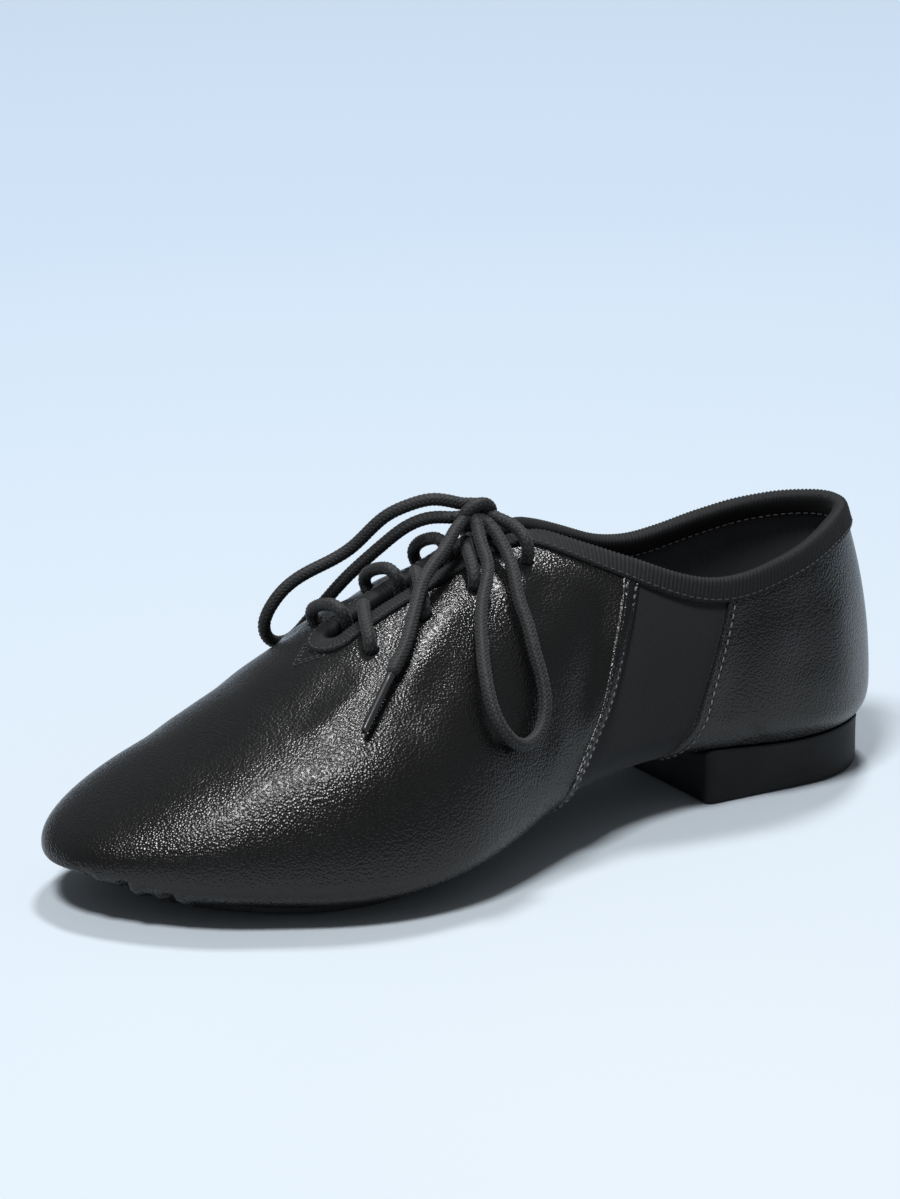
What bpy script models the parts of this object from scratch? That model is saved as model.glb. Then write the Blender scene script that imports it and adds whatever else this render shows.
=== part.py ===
# A left jazz shoe: soft leather upper with elastic gores, split sole, low heel and a tied lace.
# Metres, +Z up. The toe points to -X and the outer side of the foot is -Y.
import math

import bmesh
import bpy
import numpy as np
from mathutils import Vector

# Main sizes
shoe_length = 0.250
ball_width = 0.0926
instep_height = 0.080
collar_back = 0.0724        # height of the upper's edge behind the heel
heel_height = 0.0105
sole_thickness = 0.0020
sole_wear = 0.0002          # the sole's middle is worn flat by this much
wall = 0.0016               # leather and lining together
clearance = 0.0003          # between pieces that lie on each other
toe_reach = 0.034           # length over which the toe rounds off
toe_height = 0.0135         # height of the toe's tip
heel_reach = 0.042          # length over which the heel's back rounds off
heel_tuck = 0.003           # rise of the upper's bottom at the heel's very back
heel_lean = 0.0027          # how far the heel's back comes forward, lean_height over or under its bulge
heel_bulge = 0.0245
lean_height = 0.030
lean_length = 0.070

# Throat, lace holes and edge binding
throat_front = 0.078
throat_rear = 0.158         # the throat has run into the collar here
throat_gap = 0.0032         # half width of the throat
corner_radius = 0.005       # rounds the corner between throat and collar
hole_first = 0.0834
hole_pitch = 0.0179
hole_spread = 0.0142        # from the throat's middle
hole_diameter = 0.0043
hole_pairs = 4
binding_thickness = 0.0008
binding_throat = 0.0042     # how far the binding reaches down beside the throat
binding_collar = 0.0056     # and beside the collar
binding_slack = 0.0005      # more room on the inside, where the binding bends round the wall
corner_slack = 0.0007       # more room where the throat turns into the collar

# Gore and seams
gore_step = 0.0005
seam_raise = 0.0003
front_seam_width = 0.0042
rear_seam_width = 0.0014
seam_edge = 0.0004

# Sole, heel and insole
sole_front = 0.022
sole_rear = 0.142
sole_half_width = 0.0315
heel_length = 0.0607
heel_setback = 0.0053       # of the block's back from the upper's
heel_back = shoe_length - heel_setback
heel_front = heel_back - heel_length
heel_half_width = 0.0238
heel_round = 0.030
heel_bevel = 0.0010
insole_thickness = 0.0015
insole_inset = 0.0065
insole_spread = math.radians(44)
insole_round = 0.024
insole_tip = 0.0012         # its ends are this blunt

# Lace
lace_diameter = 0.0034
tip_diameter = 0.0023
tip_length = 0.0185

half_ball = ball_width / 2
front_seat = sole_thickness + clearance - sole_wear
heel_seat = heel_height + clearance
lace_radius = lace_diameter / 2

# Sections of the last. at: share of the length from the toe. centre, width and ridge: shares of half
# the ball width. lift: share of the step from the forefoot's seat to the heel's seat. top and widest:
# shares of the instep height. low and high: powers of the curve below and above the widest line.
section_names = ("at", "centre", "width", "lift", "top", "widest", "low", "high", "ridge")
section_rows = (
    (0.00, 0.22, 0.525, 1.18, 0.320, 0.200, 2.5, 2.20, 0.03),
    (0.06, 0.17, 0.655, 0.43, 0.370, 0.188, 2.7, 2.20, 0.02),
    (0.13, 0.07, 0.770, 0.17, 0.468, 0.175, 2.8, 2.20, 0.03),
    (0.21, -0.025, 0.915, 0.00, 0.598, 0.173, 3.0, 2.10, 0.05),
    (0.30, -0.08, 1.000, 0.00, 0.745, 0.185, 3.0, 2.10, 0.11),
    (0.38, -0.075, 0.985, 0.13, 0.844, 0.225, 2.8, 2.05, 0.15),
    (0.46, -0.02, 0.888, 0.40, 0.905, 0.273, 2.6, 2.00, 0.18),
    (0.54, 0.035, 0.775, 0.84, 0.965, 0.318, 2.5, 2.00, 0.185),
    (0.62, 0.055, 0.675, 1.08, 1.003, 0.340, 2.6, 1.95, 0.145),
    (0.70, 0.035, 0.628, 1.15, 1.080, 0.350, 2.6, 1.95, 0.07),
    (0.80, 0.00, 0.640, 1.06, 1.160, 0.332, 2.8, 1.95, 0.03),
    (0.90, -0.035, 0.620, 1.00, 1.170, 0.308, 2.9, 1.80, 0.04),
    (1.00, -0.01, 0.500, 1.00, 1.165, 0.303, 2.8, 1.60, 0.01),
)
# The upper's edge at the collar. at: share of the length. height: share of its height at the back.
collar_names = ("at", "height")
collar_rows = (
    (0.30, 1.60),
    (0.45, 1.46),
    (0.52, 1.28),
    (0.56, 1.16),
    (0.60, 1.076),
    (0.66, 0.986),
    (0.72, 0.900),
    (0.78, 0.883),
    (0.82, 0.907),
    (0.86, 0.936),
    (0.91, 0.972),
    (0.96, 0.994),
    (1.00, 1.000),
)
# The gore's two seams. turn: degrees round the section from the bottom. front and rear: shares of
# the length.
seam_names = ("turn", "front", "rear")
seam_rows = (
    (0, 0.505, 0.660),
    (45, 0.515, 0.677),
    (74, 0.532, 0.694),
    (90, 0.552, 0.708),
    (100, 0.585, 0.723),
    (115, 0.622, 0.750),
    (132, 0.658, 0.772),
    (180, 0.710, 0.800),
)
seam_nominal = (0.32, 0.58, 0.72, 0.88)    # columns follow the seams between the first and the last

# The sole's outline. at: share of its length. half: share of its half width before its ends round off.
sole_names = ("at", "half")
sole_rows = (
    (0.00, 0.72),
    (0.22, 0.93),
    (0.42, 1.00),
    (0.60, 0.90),
    (0.80, 0.66),
    (1.00, 0.48),
)
sole_round_front = 0.028
sole_round_rear = 0.024

# Routes of the lace's free stretches, in the shoe's own place
knot_centre = (0.0040, 0.0117, 0.0850)
knot_half = (0.0058, 0.0046, 0.0042)
near_loop_route = (
    (0.0014, 0.0068, 0.0832), (-0.0004, 0.0024, 0.0804), (-0.0024, -0.0038, 0.0764),
    (-0.0086, -0.0112, 0.0706), (-0.0156, -0.0212, 0.0624), (-0.0205, -0.0318, 0.0527),
    (-0.0210, -0.0354, 0.0480), (-0.0195, -0.0380, 0.0431), (-0.0145, -0.0380, 0.0388),
    (-0.0085, -0.0358, 0.0388), (-0.0042, -0.0332, 0.0422), (-0.0024, -0.0312, 0.0458),
    (-0.0012, -0.0280, 0.0511), (-0.0007, -0.0236, 0.0575), (0.0004, -0.0188, 0.0631),
    (0.0014, -0.0132, 0.0684), (0.0034, -0.0078, 0.0732), (0.0052, -0.0012, 0.0778),
    (0.0056, 0.0030, 0.0806), (0.0055, 0.0067, 0.0829),
)
far_loop_route = (
    (-0.0004, 0.0151, 0.0884), (-0.0055, 0.0178, 0.0894), (-0.0110, 0.0210, 0.0880),
    (-0.0160, 0.0245, 0.0850), (-0.0195, 0.0275, 0.0808), (-0.0235, 0.0305, 0.0758),
    (-0.0290, 0.0330, 0.0722), (-0.0350, 0.0350, 0.0695), (-0.0400, 0.0370, 0.0660),
    (-0.0440, 0.0385, 0.0610), (-0.0455, 0.0400, 0.0555), (-0.0425, 0.0415, 0.0500),
    (-0.0365, 0.0422, 0.0490), (-0.0320, 0.0405, 0.0535), (-0.0285, 0.0370, 0.0595),
    (-0.0250, 0.0328, 0.0660), (-0.0208, 0.0284, 0.0722), (-0.0165, 0.0245, 0.0776),
    (-0.0120, 0.0205, 0.0824), (-0.0070, 0.0170, 0.0847), (-0.0024, 0.0134, 0.0849),
)
end_route = (
    (-0.0022, 0.0096, 0.0843), (-0.0055, 0.0076, 0.0830), (-0.0095, 0.0050, 0.0807),
    (-0.0160, 0.0010, 0.0780), (-0.0230, -0.0040, 0.0750), (-0.0290, -0.0098, 0.0706),
    (-0.0340, -0.0148, 0.0668), (-0.0385, -0.0188, 0.0634), (-0.0424, -0.0212, 0.0606),
    (-0.0440, -0.0222, 0.0594),
)
tip_way = (-0.0133, -0.0078, -0.0109)      # direction in which the tip hangs
# The last stretches of both halves, from their top holes to the knot
last_near = ((0.0118, -0.0012, 0.0786), (0.0113, 0.0030, 0.0822), (0.0088, 0.0083, 0.0841))
last_far = ((0.0118, 0.0272, 0.0775), (0.0114, 0.0232, 0.0826), (0.0083, 0.0156, 0.0849))


# Reads a table's rows into named columns
def columns(names, rows):
    return {name: np.array([row[i] for row in rows], float) for i, name in enumerate(names)}


sections = columns(section_names, section_rows)
collar = columns(collar_names, collar_rows)
seams = columns(seam_names, seam_rows)
sole_outline = columns(sole_names, sole_rows)


# A smooth curve through the knots, with no bend at its ends
def smooth(at, knots, values):
    step = np.diff(knots)
    count = len(knots)
    matrix = np.eye(count)
    right = np.zeros(count)
    for i in range(1, count - 1):
        matrix[i, i - 1:i + 2] = step[i - 1], 2 * (step[i - 1] + step[i]), step[i]
        right[i] = 6 * ((values[i + 1] - values[i]) / step[i] - (values[i] - values[i - 1]) / step[i - 1])
    bend = np.linalg.solve(matrix, right)
    at = np.clip(np.asarray(at, float), knots[0], knots[-1])
    i = np.clip(np.searchsorted(knots, at) - 1, 0, count - 2)
    h = step[i]
    left = (knots[i + 1] - at) / h
    rest = 1 - left
    curve = ((left ** 3 - left) * bend[i] + (rest ** 3 - rest) * bend[i + 1]) * h * h / 6
    return left * values[i] + rest * values[i + 1] + curve


# Falls from 1 to 0 over the last stretch before an end, like the quarter of a round
def rounded(distance, reach, power):
    share = np.clip(distance / reach, 0, 1)
    return np.clip(1 - (1 - share) ** power, 0, 1) ** (1 / power)


def blend(value, start, end):
    share = np.clip((value - start) / (end - start), 0, 1)
    return share * share * (3 - 2 * share)


# The last's section at a distance from the toe
def section(x):
    at = x / shoe_length
    value = {name: smooth(at, sections["at"], sections[name]) for name in section_names[1:]}
    front = rounded(x, toe_reach, 2.2)
    back = rounded(shoe_length - x, heel_reach, 2.4)
    bottom = front_seat + (heel_seat - front_seat) * value["lift"]
    return {
        "centre": half_ball * value["centre"],
        "half": half_ball * value["width"] * front * back,
        "bottom": toe_height + (bottom - toe_height) * front + heel_tuck * (1 - back),
        "top": toe_height + (instep_height * value["top"] - toe_height) * front,
        "widest": toe_height + (instep_height * value["widest"] - toe_height) * front,
        "low": value["low"],
        "high": value["high"],
        "ridge": half_ball * value["ridge"],
    }


# A point of the last: x from the toe, turn from the bottom round the outer side (-) or inner side (+)
def surface(x, turn):
    x, turn = np.broadcast_arrays(np.asarray(x, float), np.asarray(turn, float))
    s = section(x)
    across = np.abs(np.sin(turn))
    upward = np.abs(np.cos(turn))
    below = np.abs(turn) < math.pi / 2
    power = np.where(below, s["low"], s["high"])
    rise = np.where(below, s["bottom"] - s["widest"], s["top"] - s["widest"]) * upward ** (2 / power)
    z = s["widest"] + rise
    share = np.clip((z - s["bottom"]) / np.maximum(s["top"] - s["bottom"], 1e-9), 0, 1)
    y = s["centre"] + np.sign(turn) * s["half"] * across ** (2 / power) + s["ridge"] * share ** 2
    ramp = np.clip((x - shoe_length + lean_length) / lean_length, 0, 1) ** 2
    return np.stack([x - heel_lean * ramp * ((z - heel_bulge) / lean_height) ** 2, y, z], -1)


# The direction that faces out of the last at a point
def outward(x, turn):
    x, turn = np.broadcast_arrays(np.asarray(x, float), np.asarray(turn, float))
    reach = 0.0004
    before = np.clip(x - reach, 0, shoe_length)
    after = np.clip(x + reach, 0, shoe_length)
    along = surface(after, turn) - surface(before, turn)
    round_step = math.radians(0.6)
    upward = surface(x, np.clip(turn + round_step, -math.pi, math.pi))
    upward = upward - surface(x, np.clip(turn - round_step, -math.pi, math.pi))
    normal = np.cross(upward, along)
    back = x > shoe_length - 1e-5
    side = np.cross(np.array([0.0, 1.0, 0.0]), upward * np.sign(turn + 1e-12)[..., None])
    normal = np.where(back[..., None], side, normal)
    length = np.linalg.norm(normal, axis=-1)[..., None]
    normal = normal / np.maximum(length, 1e-15)
    tip = (x < 1e-5)[..., None]
    return np.where(tip, np.array([-1.0, 0.0, 0.0]), normal)


# Height of the last's underside under a point of the plan
def underside(x, y):
    s = section(np.asarray(x, float))
    share = np.clip(np.abs(y - s["centre"]) / s["half"], 0, 1)
    return s["widest"] - (s["widest"] - s["bottom"]) * (1 - share ** s["low"]) ** (1 / s["low"])


# Where a column of the upper lies: straight at the ends, along the seams between them
def column_x(nominal, turn):
    degrees = np.abs(np.degrees(turn))
    front = smooth(degrees, seams["turn"], seams["front"]) - seam_nominal[1]
    rear = smooth(degrees, seams["turn"], seams["rear"]) - seam_nominal[2]
    share = nominal / shoe_length
    ahead = np.clip((share - seam_nominal[0]) / (seam_nominal[1] - seam_nominal[0]), 0, 1)
    between = np.clip((share - seam_nominal[1]) / (seam_nominal[2] - seam_nominal[1]), 0, 1)
    behind = np.clip((share - seam_nominal[2]) / (seam_nominal[3] - seam_nominal[2]), 0, 1)
    shift = front * ahead + (rear - front) * between - rear * behind
    return nominal + shift * shoe_length


# Distance past the upper's edge: over 0 in the collar's or the throat's opening
def opening(x, turn):
    point = surface(x, turn)
    s = section(x)
    over_collar = point[..., 2] - collar_back * smooth(x / shoe_length, collar["at"], collar["height"])
    aside = point[..., 1] - s["centre"] - s["ridge"]
    past = np.maximum(throat_front + throat_gap - x, 0) + np.maximum(x - throat_rear, 0)
    in_throat = throat_gap - np.hypot(aside, past)
    apart = over_collar - in_throat
    return (over_collar + in_throat + np.sqrt(apart ** 2 + corner_radius ** 2) - corner_radius * 0.1) / 2


# The turn at which a column crosses a level of the opening, or straight up where it never does
def turn_at(nominal, side, level):
    low = math.radians(60)
    high = math.pi
    if opening(column_x(nominal, side * high), side * high) < level:
        return math.pi
    for _ in range(40):
        middle = (low + high) / 2
        if opening(column_x(nominal, side * middle), side * middle) < level:
            low = middle
        else:
            high = middle
    return (low + high) / 2


# The turn at which a section lies a distance aside from the throat's middle
def turn_aside(x, aside):
    side = 1 if aside > 0 else -1
    low = math.radians(60)
    high = math.pi
    s = section(x)
    for _ in range(40):
        middle = (low + high) / 2
        if abs(surface(x, side * middle)[1] - s["centre"] - s["ridge"]) > abs(aside):
            low = middle
        else:
            high = middle
    return side * (low + high) / 2


def binding_reach(x):
    return binding_throat + (binding_collar - binding_throat) * blend(x / shoe_length, 0.50, 0.60)


# Columns of the upper from toe to heel, as nominal distances
def upper_columns():
    front_seam = seam_nominal[1] * shoe_length
    rear_seam = seam_nominal[2] * shoe_length
    toe = [toe_reach * (1 - math.cos(math.radians(a))) for a in (0, 14, 26, 38, 50, 62, 75, 90)]
    vamp = list(np.linspace(toe_reach, throat_front, 7)[1:])
    start = throat_front + np.array([0.15, 0.5, 1.0]) * throat_gap
    facing = list(np.linspace(start[-1], front_seam - front_seam_width - seam_edge, 9)[1:])
    front = [front_seam - front_seam_width, front_seam, front_seam + seam_edge]
    gore = list(np.linspace(front_seam + seam_edge, rear_seam - seam_edge, 6)[1:])
    rear = [rear_seam, rear_seam + rear_seam_width, rear_seam + rear_seam_width + seam_edge]
    bend = shoe_length - heel_reach
    quarter = list(np.linspace(rear[-1], bend, 5)[1:])
    heel = [bend + heel_reach * math.sin(math.radians(a)) for a in (12, 24, 36, 47, 57, 67, 76, 84, 90)]
    return toe + vamp + list(start) + facing + front + gore + rear + quarter + heel


# How far the outside stands over the plain wall at a column
def seam_profile(nominal):
    front_seam = seam_nominal[1] * shoe_length
    rear_seam = seam_nominal[2] * shoe_length
    slack = seam_edge / 2
    if front_seam - front_seam_width - slack < nominal < front_seam + slack:
        return seam_raise
    if rear_seam - slack < nominal < rear_seam + rear_seam_width + slack:
        return seam_raise
    if front_seam < nominal < rear_seam:
        return -gore_step
    return 0.0


half_rows = 12
under_turn = math.radians(45)    # the seams lie flat where the shoe stands on them
side_turn = math.radians(62)


# The turns of a column's points from its edge to the bottom
def row_turns(nominal, side):
    edge = turn_at(nominal, side, 0.0)
    even = edge * (1 - np.arange(half_rows + 1) / half_rows)
    weight = blend(nominal / shoe_length, 0.42, 0.50) * (1 - blend(nominal / shoe_length, 0.86, 0.94))
    if weight > 0:
        reach = binding_reach(column_x(nominal, side * edge))
        first = turn_at(nominal, side, -reach - 0.0004)
        second = turn_at(nominal, side, -reach - 0.0014)
        rest = second * (1 - np.arange(half_rows - 1) / (half_rows - 2))
        stepped = np.concatenate([[edge, first], rest])
        even = even * (1 - weight) + stepped * weight
    return even


# Both faces of the upper as grids: columns from toe to heel, rows from edge under the foot to edge
def upper_grids():
    outside = []
    inside = []
    for nominal in upper_columns():
        near = -row_turns(nominal, -1)
        far = row_turns(nominal, 1)
        turns = np.concatenate([near, far[-2::-1]])
        x = column_x(nominal, turns)
        point = surface(x, turns)
        normal = outward(x, turns)
        raised = np.full(len(turns), seam_profile(nominal))
        raised = np.where(raised > 0, raised * blend(np.abs(turns), under_turn, side_turn), raised)
        raised[[0, 1, -2, -1]] = 0
        outside.append(point + normal * raised[:, None])
        inside.append(point - normal * wall)
    return np.array(outside), np.array(inside)


outside_grid, inside_grid = upper_grids()
middle_x = (outside_grid[..., 0].min() + outside_grid[..., 0].max()) / 2
middle_y = (outside_grid[..., 1].min() + outside_grid[..., 1].max()) / 2
middle = np.array([middle_x, middle_y, 0.0])


def clear_scene():
    for item in list(bpy.data.objects):
        bpy.data.objects.remove(item, do_unlink=True)


def material(name, colour, roughness, metallic=0.0):
    made = bpy.data.materials.new(name)
    made.use_nodes = True
    shader = made.node_tree.nodes["Principled BSDF"]
    shader.inputs["Base Color"].default_value = (*colour, 1.0)
    shader.inputs["Roughness"].default_value = roughness
    shader.inputs["Metallic"].default_value = metallic
    return made


# A closed mesh object from points and faces, with all faces turned outwards
def solid(name, points, faces, finish):
    mesh = bpy.data.meshes.new(name)
    mesh.from_pydata([tuple(p) for p in points], [], faces)
    work = bmesh.new()
    work.from_mesh(mesh)
    bmesh.ops.recalc_face_normals(work, faces=work.faces)
    work.to_mesh(mesh)
    work.free()
    made = bpy.data.objects.new(name, mesh)
    made.data.materials.append(finish)
    bpy.context.scene.collection.objects.link(made)
    return made


# Faces between two lists of the same length, with doubled corners left out
def strip(faces, first, second):
    for i in range(len(first) - 1):
        corners = [first[i], first[i + 1], second[i + 1], second[i]]
        kept = [c for n, c in enumerate(corners) if c not in corners[:n]]
        if len(kept) > 2:
            faces.append(kept)


def build_upper():
    count = len(outside_grid)
    rows = outside_grid.shape[1]
    last = rows - 1
    spots = []
    numbers = {}

    # the toe's tip is one point, closed columns share their first and last, and the heel's back is one line
    def number(layer, grid, j, k):
        if j == 0:
            k = 0
        elif j == count - 1:
            k = min(k, last - k)
        elif k == last and np.linalg.norm(outside_grid[j, 0] - outside_grid[j, last]) < 1e-7:
            k = 0
        key = (layer, j, k)
        if key not in numbers:
            numbers[key] = len(spots)
            spots.append(grid[j, k] - middle)
        return numbers[key]

    faces = []
    outer = [[number(0, outside_grid, j, k) for k in range(rows)] for j in range(count)]
    inner = [[number(1, inside_grid, j, k) for k in range(rows)] for j in range(count)]
    for j in range(count - 1):
        strip(faces, outer[j], outer[j + 1])
        strip(faces, inner[j + 1], inner[j])
    # the rim joins both faces along the edge
    for j in range(count - 1):
        if outer[j + 1][0] == outer[j + 1][last] and j + 1 < count - 1:
            continue
        strip(faces, [outer[j + 1][0], outer[j][0]], [inner[j + 1][0], inner[j][0]])
        strip(faces, [outer[j][last], outer[j + 1][last]], [inner[j][last], inner[j + 1][last]])
    finish = material("black leather", (0.022, 0.022, 0.024), 0.38)
    return solid("upper", spots, faces, finish)


# The place of a lace hole: its point on the outside, and the direction out of it
def hole_place(pair, side):
    x = hole_first + pair * hole_pitch
    turn = turn_aside(x, side * hole_spread)
    return surface(x, turn) - middle, outward(x, turn)


def cut_holes(upper):
    work = bmesh.new()
    for pair in range(hole_pairs):
        for side in (-1, 1):
            place, normal = hole_place(pair, side)
            ring = bmesh.ops.create_cone(work, cap_ends=True, segments=10, radius1=hole_diameter / 2,
                                         radius2=hole_diameter / 2, depth=wall * 4)["verts"]
            turned = rotation_to(normal)
            for vert in ring:
                vert.co = turned @ vert.co
                vert.co += vector(place - normal * wall / 2)
    mesh = bpy.data.meshes.new("hole cutters")
    work.to_mesh(mesh)
    work.free()
    cutter = bpy.data.objects.new("hole cutters", mesh)
    bpy.context.scene.collection.objects.link(cutter)
    cut = upper.modifiers.new("lace holes", "BOOLEAN")
    cut.operation = "DIFFERENCE"
    cut.solver = "EXACT"
    cut.object = cutter
    bpy.context.view_layer.update()
    graph = bpy.context.evaluated_depsgraph_get()
    result = bpy.data.meshes.new_from_object(upper.evaluated_get(graph))
    upper.modifiers.clear()
    upper.data = result
    bpy.data.objects.remove(cutter, do_unlink=True)


def vector(values):
    return Vector([float(v) for v in values])


def rotation_to(direction):
    return vector((0, 0, 1)).rotation_difference(vector(direction)).to_matrix()


# A plate between two faces over an outline, built as rings round its middle
def ring_plate(name, outline, shares, top, bottom, finish, bevel=0.0):
    centre = outline.mean(axis=0)
    count = len(outline)
    spots = []
    faces = []

    def layer(height, ring_shares):
        start = len(spots)
        spots.append((centre[0], centre[1], float(height(centre[0], centre[1]))))
        for share in ring_shares:
            for point in outline:
                x, y = centre + (point - centre) * share
                spots.append((x, y, float(height(x, y))))
        for i in range(count):
            after = (i + 1) % count
            faces.append([start, start + 1 + i, start + 1 + after])
            for ring in range(len(ring_shares) - 1):
                low = start + 1 + ring * count
                faces.append([low + i, low + count + i, low + count + after, low + after])
        return start + 1 + (len(ring_shares) - 1) * count

    upper_edge = layer(top, shares)
    foot_shares = list(shares[:-1])
    foot_shares.append(1 - bevel / np.abs(outline - centre).max() if bevel else 1.0)
    lower_edge = layer(bottom, foot_shares)
    rims = [upper_edge]
    if bevel:
        rims.append(len(spots))
        for x, y in outline:
            spots.append((x, y, float(bottom(x, y)) + bevel))
    rims.append(lower_edge)
    for first, second in zip(rims[:-1], rims[1:]):
        for i in range(count):
            after = (i + 1) % count
            faces.append([first + i, first + after, second + after, second + i])
    placed = [(x - middle[0], y - middle[1], z) for x, y, z in spots]
    return solid(name, placed, faces, finish)


# Places round an outline given by its half width along a centre line
def outline_loop(start, end, half_width, count):
    steps = (1 - np.cos(np.linspace(0, math.pi, count))) / 2
    xs = start + (end - start) * steps
    centre = section(xs)["centre"]
    half = np.array([half_width(x) for x in xs])
    far = [(x, c + h) for x, c, h in zip(xs, centre, half)]
    near = [(x, c - h) for x, c, h in zip(xs, centre, half)][::-1]
    across = np.linspace(near[-1][1], far[0][1], 8)[1:-1] if far[0][1] - near[-1][1] > 0.002 else []
    loop = []
    for point in far + near + [(start, float(y)) for y in across]:
        if not loop or math.dist(point, loop[-1]) > 1e-5:
            loop.append(point)
    if math.dist(loop[0], loop[-1]) < 1e-5:
        loop.pop()
    return np.array(loop)


def sole_half(x):
    share = (x - sole_front) / (sole_rear - sole_front)
    half = sole_half_width * smooth(share, sole_outline["at"], sole_outline["half"])
    front = rounded(x - sole_front, sole_round_front, 2.0)
    rear = rounded(sole_rear - x, sole_round_rear, 2.0)
    return float(half * front * rear)


def build_forefoot_sole():
    outline = outline_loop(sole_front, sole_rear, sole_half, 23)
    finish = material("black sole", (0.02, 0.02, 0.02), 0.75)

    def top(x, y):
        return underside(x, y) - clearance

    def bottom(x, y):
        return max(0.0, underside(x, y) - clearance - sole_thickness)

    return ring_plate("forefoot_sole", outline, (0.25, 0.48, 0.68, 0.85, 1.0), top, bottom, finish)


def heel_half(x):
    corner = 0.93 + 0.07 * rounded(x - heel_front, 0.003, 2.0)
    return float(heel_half_width * corner * rounded(heel_back - x, heel_round, 2.3))


def build_heel():
    outline = outline_loop(heel_front, heel_back, heel_half, 14)
    finish = material("black rubber", (0.03, 0.031, 0.031), 0.6)

    def top(x, y):
        return underside(x, y) - clearance

    def bottom(x, y):
        return 0.0

    return ring_plate("heel_block", outline, (0.4, 0.65, 0.82, 0.93, 1.0), top, bottom, finish, heel_bevel)


def build_insole():
    start = insole_inset
    end = shoe_length - insole_inset
    even = np.linspace(0, 1, 27)
    steps = (even + (1 - np.cos(even * math.pi)) / 2) / 2
    rows = 8
    layers = []
    for depth in (wall + clearance, wall + clearance + insole_thickness):
        grid = []
        for x in start + (end - start) * steps:
            spread = insole_spread * rounded(x - start + insole_tip, insole_round, 2.0)
            spread = spread * rounded(end - x + insole_tip, insole_round, 2.0)
            turns = np.linspace(-spread, spread, rows + 1)
            grid.append(surface(x, turns) - outward(x, turns) * depth - middle)
        layers.append(np.array(grid))
    spots = np.concatenate([layer.reshape(-1, 3) for layer in layers])
    width = rows + 1
    count = len(steps)
    under = np.arange(count * width).reshape(count, width)
    over = under + count * width
    faces = []
    for j in range(count - 1):
        strip(faces, list(under[j]), list(under[j + 1]))
        strip(faces, list(over[j + 1]), list(over[j]))
    strip(faces, under[0].tolist(), over[0].tolist())
    strip(faces, over[-1].tolist(), under[-1].tolist())
    strip(faces, over[:, 0].tolist(), under[:, 0].tolist())
    strip(faces, under[:, -1].tolist(), over[:, -1].tolist())
    faces = [[int(i) for i in face] for face in faces]
    return solid("insole", spots, faces, material("dark lining", (0.05, 0.05, 0.052), 0.9))


# Point and outward direction on the last at a distance aside from the throat's middle, and above it
def throat_spot(x, aside, lift):
    turn = turn_aside(x, aside) if abs(aside) > 1e-6 else math.pi
    return surface(x, turn) + outward(x, turn) * lift - middle


# Stations of the edge binding, each a function of the distance from the upper's edge
def binding_stations():
    round_middle = throat_front + throat_gap

    def fan(angle):
        def place(depth):
            reach = throat_gap + depth
            x = round_middle - reach * math.cos(angle)
            turn = turn_aside(x, reach * math.sin(angle) + 1e-9)
            return surface(x, turn), outward(x, turn)
        return place

    def column(nominal, side):
        def place(depth):
            turn = side * turn_at(nominal, side, -depth)
            x = column_x(nominal, turn)
            return surface(x, turn), outward(x, turn)
        return place

    straight = []
    before = None
    for nominal in upper_columns():
        spot = column(nominal, -1)(0.0)[0]
        if nominal > round_middle + 0.0012 and (before is None or math.dist(spot, before) > 0.0026):
            straight.append(nominal)
            before = spot
    if straight[-1] < shoe_length - 1e-6:
        straight[-1] = shoe_length
    stations = [(fan(math.radians(a)), binding_throat) for a in (-82, -50, -18, 18, 50, 82)]
    for nominal in straight:
        stations.append((column(nominal, 1), binding_reach(nominal)))
    for nominal in straight[-2::-1]:
        stations.append((column(nominal, -1), binding_reach(nominal)))
    return stations


def build_binding():
    spots = []
    faces = []
    rings = 0
    for place, reach in binding_stations():
        edge, edge_out = place(0.0)
        low, low_out = place(reach)
        past = edge - low
        past = past / np.linalg.norm(past)
        corner = blend(edge[0], 0.125, 0.138) * (1 - blend(edge[0], 0.164, 0.174))
        corner = corner_slack * max(corner, blend(edge[0], 0.230, 0.240))
        beyond = clearance + corner + binding_slack / 2 * (edge[0] < throat_front + throat_gap)
        outside = clearance + corner
        full = outside + binding_thickness
        inside = wall + clearance + binding_slack + corner
        ring = [
            low + low_out * full,
            edge + edge_out * full + past * beyond,
            edge - edge_out * wall / 2 + past * (beyond + binding_thickness),
            edge - edge_out * (inside + binding_thickness) + past * beyond,
            low - low_out * (inside + binding_thickness),
            low - low_out * inside,
            edge - edge_out * inside + past * beyond,
            edge + edge_out * outside + past * beyond,
            low + low_out * outside,
        ]
        spots.extend(point - middle for point in ring)
        rings += 1
    size = 9
    for j in range(rings):
        after = (j + 1) % rings
        for k in range(size):
            side = (k + 1) % size
            faces.append([j * size + k, j * size + side, after * size + side, after * size + k])
    return solid("edge_binding", spots, faces, material("ribbed elastic", (0.028, 0.028, 0.03), 0.85))


# Points at even steps on a smooth curve through a route
def even_points(route, step):
    route = np.array(route, float)
    along = np.concatenate([[0], np.cumsum(np.linalg.norm(np.diff(route, axis=0), axis=1))])
    fine = np.linspace(0, along[-1], 40 * len(route))
    curve = np.stack([smooth(fine, along, route[:, i]) for i in range(3)], -1)
    length = np.concatenate([[0], np.cumsum(np.linalg.norm(np.diff(curve, axis=0), axis=1))])
    places = np.linspace(0, length[-1], max(2, round(length[-1] / step) + 1))
    return np.stack([np.interp(places, length, curve[:, i]) for i in range(3)], -1)


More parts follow.
